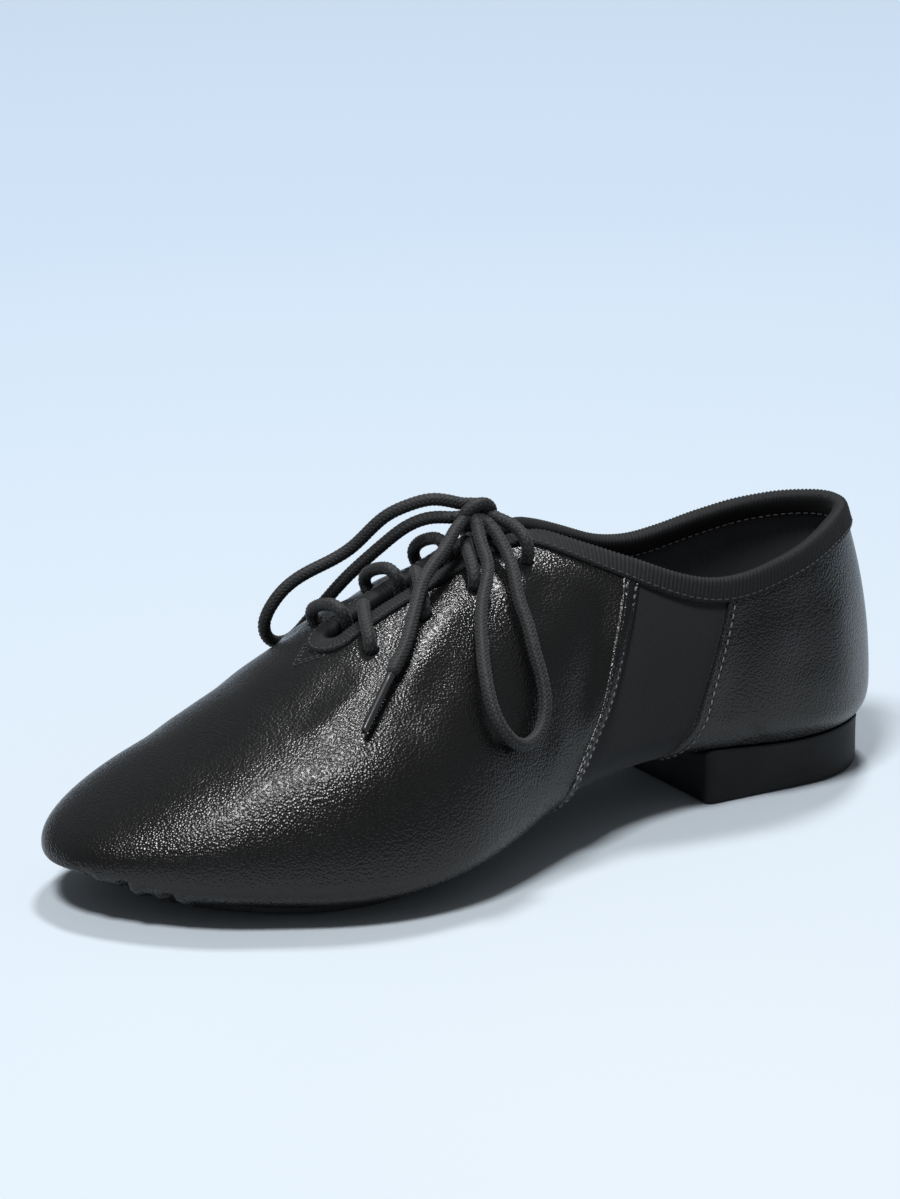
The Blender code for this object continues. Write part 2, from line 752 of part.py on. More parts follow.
def tube(name, points, diameter, sides, finish):
    shape = bpy.data.curves.new(name, "CURVE")
    shape.dimensions = "3D"
    shape.bevel_depth = diameter / 2
    shape.bevel_resolution = sides
    shape.use_fill_caps = True
    line = shape.splines.new("POLY")
    line.points.add(len(points) - 1)
    for spot, place in zip(line.points, points):
        spot.co = (*[float(v) for v in place], 1.0)
    shape.materials.append(finish)
    made = bpy.data.objects.new(name, shape)
    bpy.context.scene.collection.objects.link(made)
    return made


# Profiles of a strand from its hole over its own edge and under the other one. aside: distance from the
# throat's middle, over 0 on its own side. lift: over the last. share: of the way along the throat.
strand_names = ("aside", "lift", "share")
low_strand = (
    (0.0142, 0.0011, 0.00),
    (0.0132, 0.0025, 0.08),
    (0.0112, 0.0033, 0.22),
    (0.0082, 0.0037, 0.42),
    (0.0050, 0.0039, 0.66),
    (0.0022, 0.0036, 0.88),
    (0.0003, 0.0016, 1.00),
)
high_strand = (
    (0.0142, 0.0012, 0.00),
    (0.0136, 0.0030, 0.04),
    (0.0120, 0.0045, 0.12),
    (0.0086, 0.0060, 0.35),
    (0.0052, 0.0072, 0.60),
    (0.0018, 0.0072, 0.85),
    (-0.0002, 0.0048, 1.00),
    (-0.0002, 0.0016, 1.00),
)
under_strand = (
    (0.0000, -0.0016, 0.00),
    (-0.0002, -0.0047, 0.03),
    (-0.0033, -0.0067, 0.22),
    (-0.0084, -0.0063, 0.60),
    (-0.0120, -0.0052, 0.90),
    (-0.0137, -0.0038, 0.98),
    (-0.0142, -0.0024, 1.00),
)
low_slit = 0.0075      # where a low strand enters the throat, behind its hole
high_slit = 0.0015


def strand(pair, side, high):
    start = hole_first + pair * hole_pitch
    slit = start + (high_slit if high else low_slit)
    end = start + hole_pitch
    route = []
    for aside, lift, share in high_strand if high else low_strand:
        route.append(throat_spot(start + (slit - start) * share, side * aside, lift))
    for aside, lift, share in under_strand:
        route.append(throat_spot(slit + (end - slit) * share, side * aside, lift))
    return route


def in_hole(pair, side):
    return throat_spot(hole_first + pair * hole_pitch, side * hole_spread, -wall / 2)


# One half of the lace from its first hole up to its last: strands go from side to side
def lace_half(side, last_points):
    route = []
    for pair in range(hole_pairs - 1):
        route.append(in_hole(pair, side))
        route.extend(strand(pair, side, side > 0))
        side = -side
    route.append(in_hole(hole_pairs - 1, side))
    route.append(throat_spot(hole_first + (hole_pairs - 1) * hole_pitch, side * hole_spread, 0.0012))
    return route + [np.array(point) for point in last_points]


def build_crossings():
    x = hole_first
    bar = []
    for aside, lift in ((-0.0137, -0.0034), (-0.0100, -0.0060), (-0.0050, -0.0084), (0.0, -0.0092),
                        (0.0050, -0.0084), (0.0100, -0.0060), (0.0137, -0.0034)):
        bar.append(throat_spot(x - 0.0016 * (1 - abs(aside) / hole_spread), aside, lift))
    from_near = lace_half(-1, last_far)
    from_far = lace_half(1, last_near)
    points = even_points(from_near[::-1] + bar + from_far, lace_diameter * 0.8)
    return tube("lace_crossings", points, lace_diameter, 1, material("black cord", (0.03, 0.03, 0.031), 0.8))


def build_knot():
    work = bmesh.new()
    bmesh.ops.create_uvsphere(work, u_segments=12, v_segments=8, radius=1.0)
    spots = [[c + h * v for c, h, v in zip(knot_centre, knot_half, vert.co)] for vert in work.verts]
    faces = [[vert.index for vert in face.verts] for face in work.faces]
    work.free()
    solid("lace_knot", spots, faces, bpy.data.materials["black cord"])


def build_bow():
    cord = bpy.data.materials["black cord"]
    tube("lace_loop_near", even_points(near_loop_route, lace_diameter * 2), lace_diameter, 2, cord)
    tube("lace_loop_far", even_points(far_loop_route, lace_diameter * 2), lace_diameter, 2, cord)
    tube("lace_end", even_points(end_route, lace_diameter * 2), lace_diameter, 2, cord)
    end = np.array(end_route[-1])
    way = np.array(tip_way) / np.linalg.norm(tip_way)
    start = end + way * clearance
    plastic = material("black plastic", (0.02, 0.02, 0.02), 0.25)
    tube("lace_tip", [start, start + way * tip_length], tip_diameter, 2, plastic)


clear_scene()
shoe_upper = build_upper()
cut_holes(shoe_upper)
build_forefoot_sole()
build_heel()
build_insole()
build_binding()
build_crossings()
build_knot()
build_bow()
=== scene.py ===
import math

import bmesh
import bpy
import numpy as np
from mathutils import Matrix, Vector, noise


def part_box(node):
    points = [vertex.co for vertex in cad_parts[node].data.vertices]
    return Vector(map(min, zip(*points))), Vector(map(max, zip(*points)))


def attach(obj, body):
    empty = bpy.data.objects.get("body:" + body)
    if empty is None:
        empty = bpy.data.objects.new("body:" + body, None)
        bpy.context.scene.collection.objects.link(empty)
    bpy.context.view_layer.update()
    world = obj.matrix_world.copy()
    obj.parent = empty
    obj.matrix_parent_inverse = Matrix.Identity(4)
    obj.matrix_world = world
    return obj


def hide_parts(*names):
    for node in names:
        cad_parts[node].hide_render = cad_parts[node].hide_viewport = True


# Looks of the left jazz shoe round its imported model. Metres, toe to -X, outer side to -Y.
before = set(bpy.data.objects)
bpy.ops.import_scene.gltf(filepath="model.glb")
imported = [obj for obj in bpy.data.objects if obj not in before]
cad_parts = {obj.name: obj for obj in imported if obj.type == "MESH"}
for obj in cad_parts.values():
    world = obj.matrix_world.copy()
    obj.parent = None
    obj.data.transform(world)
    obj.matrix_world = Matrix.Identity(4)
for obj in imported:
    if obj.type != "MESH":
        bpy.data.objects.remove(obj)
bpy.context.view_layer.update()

# The view of the photograph
photoView = {
    "azimuth": -32.9, "elevation": 19.8, "distance": 1.1871, "roll": -0.3,
    "target": (0.0, 0.00365, 0.035),
    "right": 30.7, "down": 103.1,      # pixels of the target from the image's middle
    "focal": 4422.6, "longSide": 1199,      # pixels
    "sensor": 36,                           # millimetres along the long side
}


def makeCamera(v):
    a, e = math.radians(v["azimuth"]), math.radians(v["elevation"])
    back = Vector((math.sin(a) * math.cos(e), -math.cos(a) * math.cos(e), math.sin(e)))
    side = Vector((math.cos(a), math.sin(a), 0))
    up = back.cross(side)
    roll = math.radians(v["roll"])
    side, up = side * math.cos(roll) + up * math.sin(roll), up * math.cos(roll) - side * math.sin(roll)
    data = bpy.data.cameras.new("photo camera")
    data.sensor_width = v["sensor"]
    data.lens = v["sensor"] * v["focal"] / v["longSide"]
    data.clip_start, data.clip_end = 0.05, 50
    camera = bpy.data.objects.new("photo camera", data)
    bpy.context.scene.collection.objects.link(camera)
    turned = Matrix((side, up, back)).transposed()
    pan = Matrix.Rotation(math.atan(v["right"] / v["focal"]), 3, "Y")
    tilt = Matrix.Rotation(math.atan(v["down"] / v["focal"]), 3, "X")
    camera.matrix_world = Matrix.Translation(Vector(v["target"]) + back * v["distance"]) @ (
        turned @ pan @ tilt).to_4x4()
    bpy.context.scene.camera = camera


makeCamera(photoView)
bpy.context.scene.view_settings.view_transform = "Standard"

# Sizes of the shoe, as in its solids
shoeLength = 0.250
ballWidth = 0.0926
instepHeight = 0.080
collarBack = 0.0724
heelHeight = 0.0105
soleThickness = 0.0020
soleWear = 0.0002
wall = 0.0016
clearance = 0.0003
toeReach = 0.034
toeHeight = 0.0135
heelReach = 0.042
heelTuck = 0.003
heelLean = 0.0027
heelBulge = 0.0245
leanHeight = 0.030
leanLength = 0.070
throatFront = 0.078
throatRear = 0.158
throatGap = 0.0032
cornerRadius = 0.005
holeFirst = 0.0834
holePitch = 0.0179
holeSpread = 0.0142
holeDiameter = 0.0043
bindingThroat = 0.0042
bindingCollar = 0.0056
laceDiameter = 0.0034
halfBall = ballWidth / 2
frontSeat = soleThickness + clearance - soleWear
heelSeat = heelHeight + clearance

sectionNames = ("at", "centre", "width", "lift", "top", "widest", "low", "high", "ridge")
sectionRows = (
    (0.00, 0.22, 0.525, 1.18, 0.320, 0.200, 2.5, 2.20, 0.03),
    (0.06, 0.17, 0.655, 0.43, 0.370, 0.188, 2.7, 2.20, 0.02),
    (0.13, 0.07, 0.770, 0.17, 0.468, 0.175, 2.8, 2.20, 0.03),
    (0.21, -0.025, 0.915, 0.00, 0.598, 0.173, 3.0, 2.10, 0.05),
    (0.30, -0.08, 1.000, 0.00, 0.745, 0.185, 3.0, 2.10, 0.11),
    (0.38, -0.075, 0.985, 0.13, 0.844, 0.225, 2.8, 2.05, 0.15),
    (0.46, -0.02, 0.888, 0.40, 0.905, 0.273, 2.6, 2.00, 0.18),
    (0.54, 0.035, 0.775, 0.84, 0.965, 0.318, 2.5, 2.00, 0.185),
    (0.62, 0.055, 0.675, 1.08, 1.003, 0.340, 2.6, 1.95, 0.145),
    (0.70, 0.035, 0.628, 1.15, 1.080, 0.350, 2.6, 1.95, 0.07),
    (0.80, 0.00, 0.640, 1.06, 1.160, 0.332, 2.8, 1.95, 0.03),
    (0.90, -0.035, 0.620, 1.00, 1.170, 0.308, 2.9, 1.80, 0.04),
    (1.00, -0.01, 0.500, 1.00, 1.165, 0.303, 2.8, 1.60, 0.01),
)
collarRows = (
    (0.30, 1.60), (0.45, 1.46), (0.52, 1.28), (0.56, 1.16), (0.60, 1.076), (0.66, 0.986), (0.72, 0.900),
    (0.78, 0.883), (0.82, 0.907), (0.86, 0.936), (0.91, 0.972), (0.96, 0.994), (1.00, 1.000),
)
seamRows = (
    (0, 0.505, 0.660), (45, 0.515, 0.677), (74, 0.532, 0.694), (90, 0.552, 0.708), (100, 0.585, 0.723),
    (115, 0.622, 0.750), (132, 0.658, 0.772), (180, 0.710, 0.800),
)
seamNominal = (0.32, 0.58, 0.72, 0.88)
soleRows = ((0.00, 0.72), (0.22, 0.93), (0.42, 1.00), (0.60, 0.90), (0.80, 0.66), (1.00, 0.48))
frontSeam = seamNominal[1] * shoeLength
rearSeam = seamNominal[2] * shoeLength
halvings = 34      # steps of a search for a turn


def columns(names, rows):
    return {name: np.array([row[i] for row in rows], float) for i, name in enumerate(names)}


sections = columns(sectionNames, sectionRows)
collar = columns(("at", "height"), collarRows)
seams = columns(("turn", "front", "rear"), seamRows)
soleOutline = columns(("at", "half"), soleRows)


def smooth(at, knots, values):
    step = np.diff(knots)
    count = len(knots)
    matrix = np.eye(count)
    right = np.zeros(count)
    for i in range(1, count - 1):
        matrix[i, i - 1:i + 2] = step[i - 1], 2 * (step[i - 1] + step[i]), step[i]
        right[i] = 6 * ((values[i + 1] - values[i]) / step[i] - (values[i] - values[i - 1]) / step[i - 1])
    bend = np.linalg.solve(matrix, right)
    at = np.clip(np.asarray(at, float), knots[0], knots[-1])
    i = np.clip(np.searchsorted(knots, at) - 1, 0, count - 2)
    h = step[i]
    left = (knots[i + 1] - at) / h
    rest = 1 - left
    curve = ((left ** 3 - left) * bend[i] + (rest ** 3 - rest) * bend[i + 1]) * h * h / 6
    return left * values[i] + rest * values[i + 1] + curve


def rounded(distance, reach, power):
    share = np.clip(distance / reach, 0, 1)
    return np.clip(1 - (1 - share) ** power, 0, 1) ** (1 / power)


def blend(value, start, end):
    share = np.clip((value - start) / (end - start), 0, 1)
    return share * share * (3 - 2 * share)


def section(x):
    at = x / shoeLength
    value = {name: smooth(at, sections["at"], sections[name]) for name in sectionNames[1:]}
    front = rounded(x, toeReach, 2.2)
    back = rounded(shoeLength - x, heelReach, 2.4)
    bottom = frontSeat + (heelSeat - frontSeat) * value["lift"]
    return {
        "centre": halfBall * value["centre"],
        "half": halfBall * value["width"] * front * back,
        "bottom": toeHeight + (bottom - toeHeight) * front + heelTuck * (1 - back),
        "top": toeHeight + (instepHeight * value["top"] - toeHeight) * front,
        "widest": toeHeight + (instepHeight * value["widest"] - toeHeight) * front,
        "low": value["low"], "high": value["high"],
        "ridge": halfBall * value["ridge"],
    }


# A point of the last: x from the toe, turn from the bottom round the outer side (-) or inner side (+)
def surface(x, turn):
    x, turn = np.broadcast_arrays(np.asarray(x, float), np.asarray(turn, float))
    s = section(x)
    across = np.abs(np.sin(turn))
    upward = np.abs(np.cos(turn))
    below = np.abs(turn) < math.pi / 2
    power = np.where(below, s["low"], s["high"])
    rise = np.where(below, s["bottom"] - s["widest"], s["top"] - s["widest"]) * upward ** (2 / power)
    z = s["widest"] + rise
    share = np.clip((z - s["bottom"]) / np.maximum(s["top"] - s["bottom"], 1e-9), 0, 1)
    y = s["centre"] + np.sign(turn) * s["half"] * across ** (2 / power) + s["ridge"] * share ** 2
    ramp = np.clip((x - shoeLength + leanLength) / leanLength, 0, 1) ** 2
    return np.stack([x - heelLean * ramp * ((z - heelBulge) / leanHeight) ** 2, y, z], -1)


def outward(x, turn):
    x, turn = np.broadcast_arrays(np.asarray(x, float), np.asarray(turn, float))
    reach = 0.0004
    along = surface(np.clip(x + reach, 0, shoeLength), turn)
    along = along - surface(np.clip(x - reach, 0, shoeLength), turn)
    bit = math.radians(0.6)
    upward = surface(x, np.clip(turn + bit, -math.pi, math.pi))
    upward = upward - surface(x, np.clip(turn - bit, -math.pi, math.pi))
    normal = np.cross(upward, along)
    back = x > shoeLength - 1e-5
    side = np.cross(np.array([0.0, 1.0, 0.0]), upward * np.sign(turn + 1e-12)[..., None])
    normal = np.where(back[..., None], side, normal)
    normal = normal / np.maximum(np.linalg.norm(normal, axis=-1)[..., None], 1e-15)
    return np.where((x < 1e-5)[..., None], np.array([-1.0, 0.0, 0.0]), normal)


def underside(x, y):
    s = section(np.asarray(x, float))
    share = np.clip(np.abs(y - s["centre"]) / s["half"], 0, 1)
    return s["widest"] - (s["widest"] - s["bottom"]) * (1 - share ** s["low"]) ** (1 / s["low"])


def columnX(nominal, turn):
    degrees = np.abs(np.degrees(turn))
    front = smooth(degrees, seams["turn"], seams["front"]) - seamNominal[1]
    rear = smooth(degrees, seams["turn"], seams["rear"]) - seamNominal[2]
    share = nominal / shoeLength
    ahead = np.clip((share - seamNominal[0]) / (seamNominal[1] - seamNominal[0]), 0, 1)
    between = np.clip((share - seamNominal[1]) / (seamNominal[2] - seamNominal[1]), 0, 1)
    behind = np.clip((share - seamNominal[2]) / (seamNominal[3] - seamNominal[2]), 0, 1)
    return nominal + (front * ahead + (rear - front) * between - rear * behind) * shoeLength


# Distance past the upper's edge: over 0 in the collar's or the throat's opening
def opening(x, turn):
    point = surface(x, turn)
    s = section(x)
    overCollar = point[..., 2] - collarBack * smooth(x / shoeLength, collar["at"], collar["height"])
    aside = point[..., 1] - s["centre"] - s["ridge"]
    past = np.maximum(throatFront + throatGap - x, 0) + np.maximum(x - throatRear, 0)
    inThroat = throatGap - np.hypot(aside, past)
    apart = overCollar - inThroat
    return (overCollar + inThroat + np.sqrt(apart ** 2 + cornerRadius ** 2) - cornerRadius * 0.1) / 2


# The turns at which columns cross a level of the opening, or straight up where they never do
def turnAt(nominal, side, level):
    nominal, level = np.broadcast_arrays(np.asarray(nominal, float), np.asarray(level, float))
    low = np.full(nominal.shape, math.radians(60))
    high = np.full(nominal.shape, math.pi)
    never = opening(columnX(nominal, side * high), side * high) < level
    for _ in range(halvings):
        mid = (low + high) / 2
        under = opening(columnX(nominal, side * mid), side * mid) < level
        low, high = np.where(under, mid, low), np.where(under, high, mid)
    return np.where(never, math.pi, (low + high) / 2)


# The turns at which sections lie a distance aside from the throat's middle
def turnAside(x, aside):
    x, aside = np.broadcast_arrays(np.asarray(x, float), np.asarray(aside, float))
    side = np.where(aside > 0, 1, -1)
    low = np.full(x.shape, math.radians(60))
    high = np.full(x.shape, math.pi)
    s = section(x)
    for _ in range(halvings):
        mid = (low + high) / 2
        wider = np.abs(surface(x, side * mid)[..., 1] - s["centre"] - s["ridge"]) > np.abs(aside)
        low, high = np.where(wider, mid, low), np.where(wider, high, mid)
    return side * (low + high) / 2


def bindingReach(x):
    return bindingThroat + (bindingCollar - bindingThroat) * blend(x / shoeLength, 0.50, 0.60)


# The solids' middle: their scene stands round the box of the upper
lowCorner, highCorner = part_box("upper")
turnsRound = np.linspace(-math.pi, math.pi, 721)
wideY = [surface(x, turnsRound)[:, 1] for x in np.linspace(0.06, 0.09, 61)]
middle = np.array([
    shoeLength / 2 - (lowCorner[0] + highCorner[0]) / 2,
    min(y.min() for y in wideY) - lowCorner[1],
    0.0,
])


# Materials: one maker for their common nodes
def makeMaterial(name, colour, roughness):
    made = bpy.data.materials.new(name)
    made.use_nodes = True
    shader = made.node_tree.nodes["Principled BSDF"]
    shader.inputs["Base Color"].default_value = (*colour, 1)
    shader.inputs["Roughness"].default_value = roughness
    return made, made.node_tree.nodes, made.node_tree.links, shader


def addNode(nodes, kind, **values):
    made = nodes.new(kind)
    for key, value in values.items():
        if key in made.inputs:
            made.inputs[key].default_value = value
        else:
            setattr(made, key, value)
    return made


def addNoise(nodes, links, place, scale, detail, rough=0.5, output="Fac"):
    made = addNode(nodes, "ShaderNodeTexNoise", Scale=scale, Detail=detail, Roughness=rough)
    links.new(place, made.inputs["Vector"])
    return made.outputs[output]


def spread(nodes, links, source, low, high, fromLow=0.0, fromHigh=1.0):
    mapped = addNode(nodes, "ShaderNodeMapRange")
    for key, value in (("From Min", fromLow), ("From Max", fromHigh), ("To Min", low), ("To Max", high)):
        mapped.inputs[key].default_value = value
    links.new(source, mapped.inputs["Value"])
    return mapped.outputs["Result"]


def tone(nodes, links, source, dark, light):
    mix = addNode(nodes, "ShaderNodeMix", data_type="RGBA")
    links.new(source, next(s for s in mix.inputs if s.name == "Factor" and s.type == "VALUE"))
    first, second = [s for s in mix.inputs if s.type == "RGBA"]
    first.default_value = (*dark, 1)
    second.default_value = (*light, 1)
    return next(s for s in mix.outputs if s.type == "RGBA")


def bump(nodes, links, height, distance, strength, under=None):
    made = addNode(nodes, "ShaderNodeBump", Distance=distance, Strength=strength)
    links.new(height, made.inputs["Height"])
    if under is not None:
        links.new(under, made.inputs["Normal"])
    return made.outputs["Normal"]


leatherLooks = {
    "grain": 1450, "depth": 0.00013,      # pebbles in a metre and their height
    "fineDepth": 0.00003, "waves": 38.0, "waveDepth": 0.0007, "shift": 0.00015,
    "rough": (0.20, 0.27), "polish": 0.10,
    "dark": (0.0026, 0.0026, 0.0027), "light": (0.0042, 0.0042, 0.0043),
    "specular": 0.40, "tint": (1.0, 0.95, 0.90, 1), "coat": 0.04, "coatRough": 0.28,
}


def leatherMaterial(name, looks):
    made, nodes, links, shader = makeMaterial(name, looks["dark"], looks["rough"][1])
    place = nodes.new("ShaderNodeTexCoord").outputs["Object"]
    soft = addNoise(nodes, links, place, looks["grain"] * 0.45, 2.0, output="Color")
    shift = addNode(nodes, "ShaderNodeMixRGB", blend_type="LINEAR_LIGHT")
    shift.inputs["Fac"].default_value = looks["shift"]
    links.new(place, shift.inputs["Color1"])
    links.new(soft, shift.inputs["Color2"])
    cells = addNode(nodes, "ShaderNodeTexVoronoi", feature="SMOOTH_F1", Scale=looks["grain"],
                    Smoothness=0.25)
    links.new(shift.outputs["Color"], cells.inputs["Vector"])
    pebble = spread(nodes, links, cells.outputs["Distance"], 1.0, 0.0, 0.0, 0.75)
    fine = addNoise(nodes, links, place, looks["grain"] * 2.4, 3.0, 0.6)
    wide = addNoise(nodes, links, place, looks["waves"], 3.0, 0.55)
    normal = bump(nodes, links, wide, looks["waveDepth"], 0.2)
    normal = bump(nodes, links, fine, looks["fineDepth"], 0.35, normal)
    normal = bump(nodes, links, pebble, looks["depth"], 1.0, normal)
    links.new(normal, shader.inputs["Normal"])
    # the pebbles' tops are rubbed smoother than the valleys between them
    polish = addNode(nodes, "ShaderNodeMath", operation="SUBTRACT")
    links.new(spread(nodes, links, wide, *looks["rough"], 0.3, 0.7), polish.inputs[0])
    links.new(spread(nodes, links, pebble, -looks["polish"] * 0.5, looks["polish"] * 0.7, 0.35, 0.95),
              polish.inputs[1])
    links.new(polish.outputs["Value"], shader.inputs["Roughness"])
    links.new(tone(nodes, links, wide, looks["dark"], looks["light"]), shader.inputs["Base Color"])
    shader.inputs["Specular IOR Level"].default_value = looks["specular"]
    shader.inputs["Specular Tint"].default_value = looks["tint"]
    shader.inputs["Coat Weight"].default_value = looks["coat"]
    shader.inputs["Coat Roughness"].default_value = looks["coatRough"]
    return made


# The last argument is painted shade: the tone left in the low places of a braid or between ribs, where shade
# falls
def wovenMaterial(name, dark, light, pitch, depth, rough, sheen=0.15, paintedShade=None):
    made, nodes, links, shader = makeMaterial(name, dark, rough)
    uv = nodes.new("ShaderNodeTexCoord").outputs["UV"]
    place = nodes.new("ShaderNodeTexCoord").outputs["Object"]
    heights = []
    for direction in ("X", "Y"):
        wave = addNode(nodes, "ShaderNodeTexWave", wave_type="BANDS", bands_direction=direction,
                       Scale=1 / pitch / 20 * math.tau, Distortion=0.0)
        links.new(uv, wave.inputs["Vector"])
        heights.append(wave.outputs["Fac"])
    join = addNode(nodes, "ShaderNodeMath", operation="MAXIMUM")
    links.new(heights[0], join.inputs[0])
    links.new(heights[1], join.inputs[1])
    fuzz = addNoise(nodes, links, place, 2600.0, 3.0, 0.65)
    wide = addNoise(nodes, links, place, 60.0, 2.0)
    normal = bump(nodes, links, fuzz, depth * 0.5, 0.5)
    normal = bump(nodes, links, join.outputs["Value"], depth, 0.7, normal)
    links.new(normal, shader.inputs["Normal"])
    colour = tone(nodes, links, wide, dark, light)
    # painted shade: the colour is darkened in a braid's low places and between ribs
    if paintedShade:
        height = addNode(nodes, "ShaderNodeAttribute", attribute_name="paintedShade").outputs["Fac"]
        shade = addNode(nodes, "ShaderNodeMixRGB", blend_type="MULTIPLY")
        shade.inputs["Fac"].default_value = 1.0
        links.new(colour, shade.inputs["Color1"])
        links.new(spread(nodes, links, height, paintedShade, 1.0), shade.inputs["Color2"])
        colour = shade.outputs["Color"]
    links.new(colour, shader.inputs["Base Color"])
    links.new(spread(nodes, links, fuzz, rough - 0.1, min(1.0, rough + 0.08), 0.3, 0.7),
              shader.inputs["Roughness"])
    shader.inputs["Sheen Weight"].default_value = sheen
    shader.inputs["Sheen Roughness"].default_value = 0.4
    shader.inputs["Specular IOR Level"].default_value = 0.3
    return made


def rubberMaterial(name, dark, light, grain, depth, rough):
    made, nodes, links, shader = makeMaterial(name, dark, rough)
    place = nodes.new("ShaderNodeTexCoord").outputs["Object"]
    speck = addNoise(nodes, links, place, grain, 4.0, 0.6)
    wide = addNoise(nodes, links, place, 45.0, 3.0)
    links.new(bump(nodes, links, speck, depth, 0.6), shader.inputs["Normal"])
    links.new(tone(nodes, links, wide, dark, light), shader.inputs["Base Color"])
    links.new(spread(nodes, links, wide, rough - 0.08, rough + 0.08, 0.3, 0.7), shader.inputs["Roughness"])
    shader.inputs["Specular IOR Level"].default_value = 0.3 if rough > 0.5 else 0.5
    return made


# Two tones, the weave's pitch and depth in metres, roughness, sheen and the tone of painted shade in low
# places
cloths = {
    "gore elastic": ((0.0056, 0.0056, 0.0060), (0.0080, 0.0080, 0.0084), 0.00055, 0.00006, 0.8, 0.1),
    "inner lining": ((0.060, 0.060, 0.063), (0.090, 0.090, 0.094), 0.0007, 0.00008, 0.9),
    "binding tape": ((0.0032, 0.0032, 0.0034), (0.0054, 0.0054, 0.0056), 0.00045, 0.00007, 0.75, 0.03, 0.25),
    "lace yarn": ((0.021, 0.0206, 0.0206), (0.036, 0.0352, 0.0352), 0.00032, 0.00008, 0.58, 0.1, 0.04),
    "seam thread": ((0.09, 0.09, 0.092), (0.17, 0.17, 0.172), 0.0002, 0.00005, 0.4),
    "binding thread": ((0.018, 0.018, 0.019), (0.03, 0.03, 0.03), 0.0002, 0.00005, 0.5),
    "insole cloth": ((0.016, 0.016, 0.017), (0.026, 0.026, 0.027), 0.0009, 0.0001, 0.92),
}
# Two tones, specks in a metre, their depth in metres, roughness
rubbers = {
    "heel rubber": ((0.0020, 0.0020, 0.0021), (0.0034, 0.0034, 0.0035), 1500.0, 0.00008, 0.66),
    "sole sheet": ((0.010, 0.010, 0.0105), (0.02, 0.019, 0.019), 2200.0, 0.00012, 0.8),
    "tip plastic": ((0.012, 0.012, 0.012), (0.016, 0.016, 0.016), 600.0, 0.00003, 0.26),
}
leather = leatherMaterial("black leather", leatherLooks)
gore, lining, tape, cordYarn, thread, darkThread, insoleCloth = [
    wovenMaterial(name, *values) for name, values in cloths.items()]
rubber, soleHide, plastic = [rubberMaterial(name, *values) for name, values in rubbers.items()]


# A mesh piece that rides on the shoe. uv: two numbers for each point, painted shade: one number for each
# point,
# slots: a material number for each face, sharp: degrees over which an edge is crisp
def makePiece(name, points, faces, materials, uv=None, slots=None, merge=0.0, sharp=40,
              paintedShade=None):
    mesh = bpy.data.meshes.new(name)
    mesh.from_pydata([tuple(p) for p in points], [], [tuple(f) for f in faces])
    if paintedShade is not None:
        heights = mesh.attributes.new("paintedShade", "FLOAT", "POINT").data
        heights.foreach_set("value", np.asarray(paintedShade, np.float32))
    for made in materials:
        mesh.materials.append(made)
    if slots is not None:
        mesh.polygons.foreach_set("material_index", np.asarray(slots, np.int32))
    if uv is not None:
        corners = np.zeros(len(mesh.loops), np.int32)
        mesh.loops.foreach_get("vertex_index", corners)
        mesh.uv_layers.new(name="UVMap").data.foreach_set("uv", np.asarray(uv, np.float32)[corners].ravel())
    work = bmesh.new()
    work.from_mesh(mesh)
    if merge:
        bmesh.ops.remove_doubles(work, verts=work.verts, dist=merge)
    bmesh.ops.recalc_face_normals(work, faces=work.faces)
    for face in work.faces:
        face.smooth = True
    for edge in work.edges:
        edge.smooth = len(edge.link_faces) != 2 or edge.calc_face_angle(0) < math.radians(sharp)
    work.to_mesh(mesh)
    work.free()
    made = bpy.data.objects.new(name, mesh)
    bpy.context.scene.collection.objects.link(made)
    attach(made, "root")
    return made


# Faces of a grid of points, rows by columns
def gridFaces(rows, count, closedRows=False, closedCount=False, start=0):
    j, k = np.meshgrid(np.arange(rows if closedRows else rows - 1),
                       np.arange(count if closedCount else count - 1), indexing="ij")
    nextJ, nextK = (j + 1) % rows, (k + 1) % count
    return (np.stack([j * count + k, nextJ * count + k, nextJ * count + nextK, j * count + nextK], -1)
            .reshape(-1, 4) + start)


def unit(v):
    return v / np.maximum(np.linalg.norm(v, axis=-1)[..., None], 1e-12)


# How far along a line each of its points lies, and the points at given places along it
def runAlong(points):
    return np.concatenate([[0], np.cumsum(np.linalg.norm(np.diff(points, axis=0), axis=1))])


def pointsAt(places, along, points):
    return np.stack([np.interp(places, along, points[:, i]) for i in range(3)], -1)


# Points at even steps on a smooth curve through a route
def evenPoints(route, step):
    route = np.array(route, float)
    along = runAlong(route)
    fine = np.linspace(0, along[-1], 40 * len(route))
    curve = np.stack([smooth(fine, along, route[:, i]) for i in range(3)], -1)
    length = runAlong(curve)
    return pointsAt(np.linspace(0, length[-1], max(2, round(length[-1] / step) + 1)), length, curve)


# A frame carried along a line without twist
def carriedFrame(points):
    ahead = unit(np.gradient(points, axis=0))
    side = np.cross(ahead[0], (0.31, 0.22, 0.92))
    sides = []
    for t in ahead:
        side = side - t * (side @ t)
        side = side / np.linalg.norm(side)
        sides.append(side)
    sides = np.array(sides)
    return ahead, sides, np.cross(ahead, sides)


braid = {
    "strands": 8, "pitch": 0.00125, "depth": 0.00030, "around": 40, "step": 0.00027,
    "taper": 0.004, "under": 0.35,      # length of a thin end, painted shade on a strand that dips
}


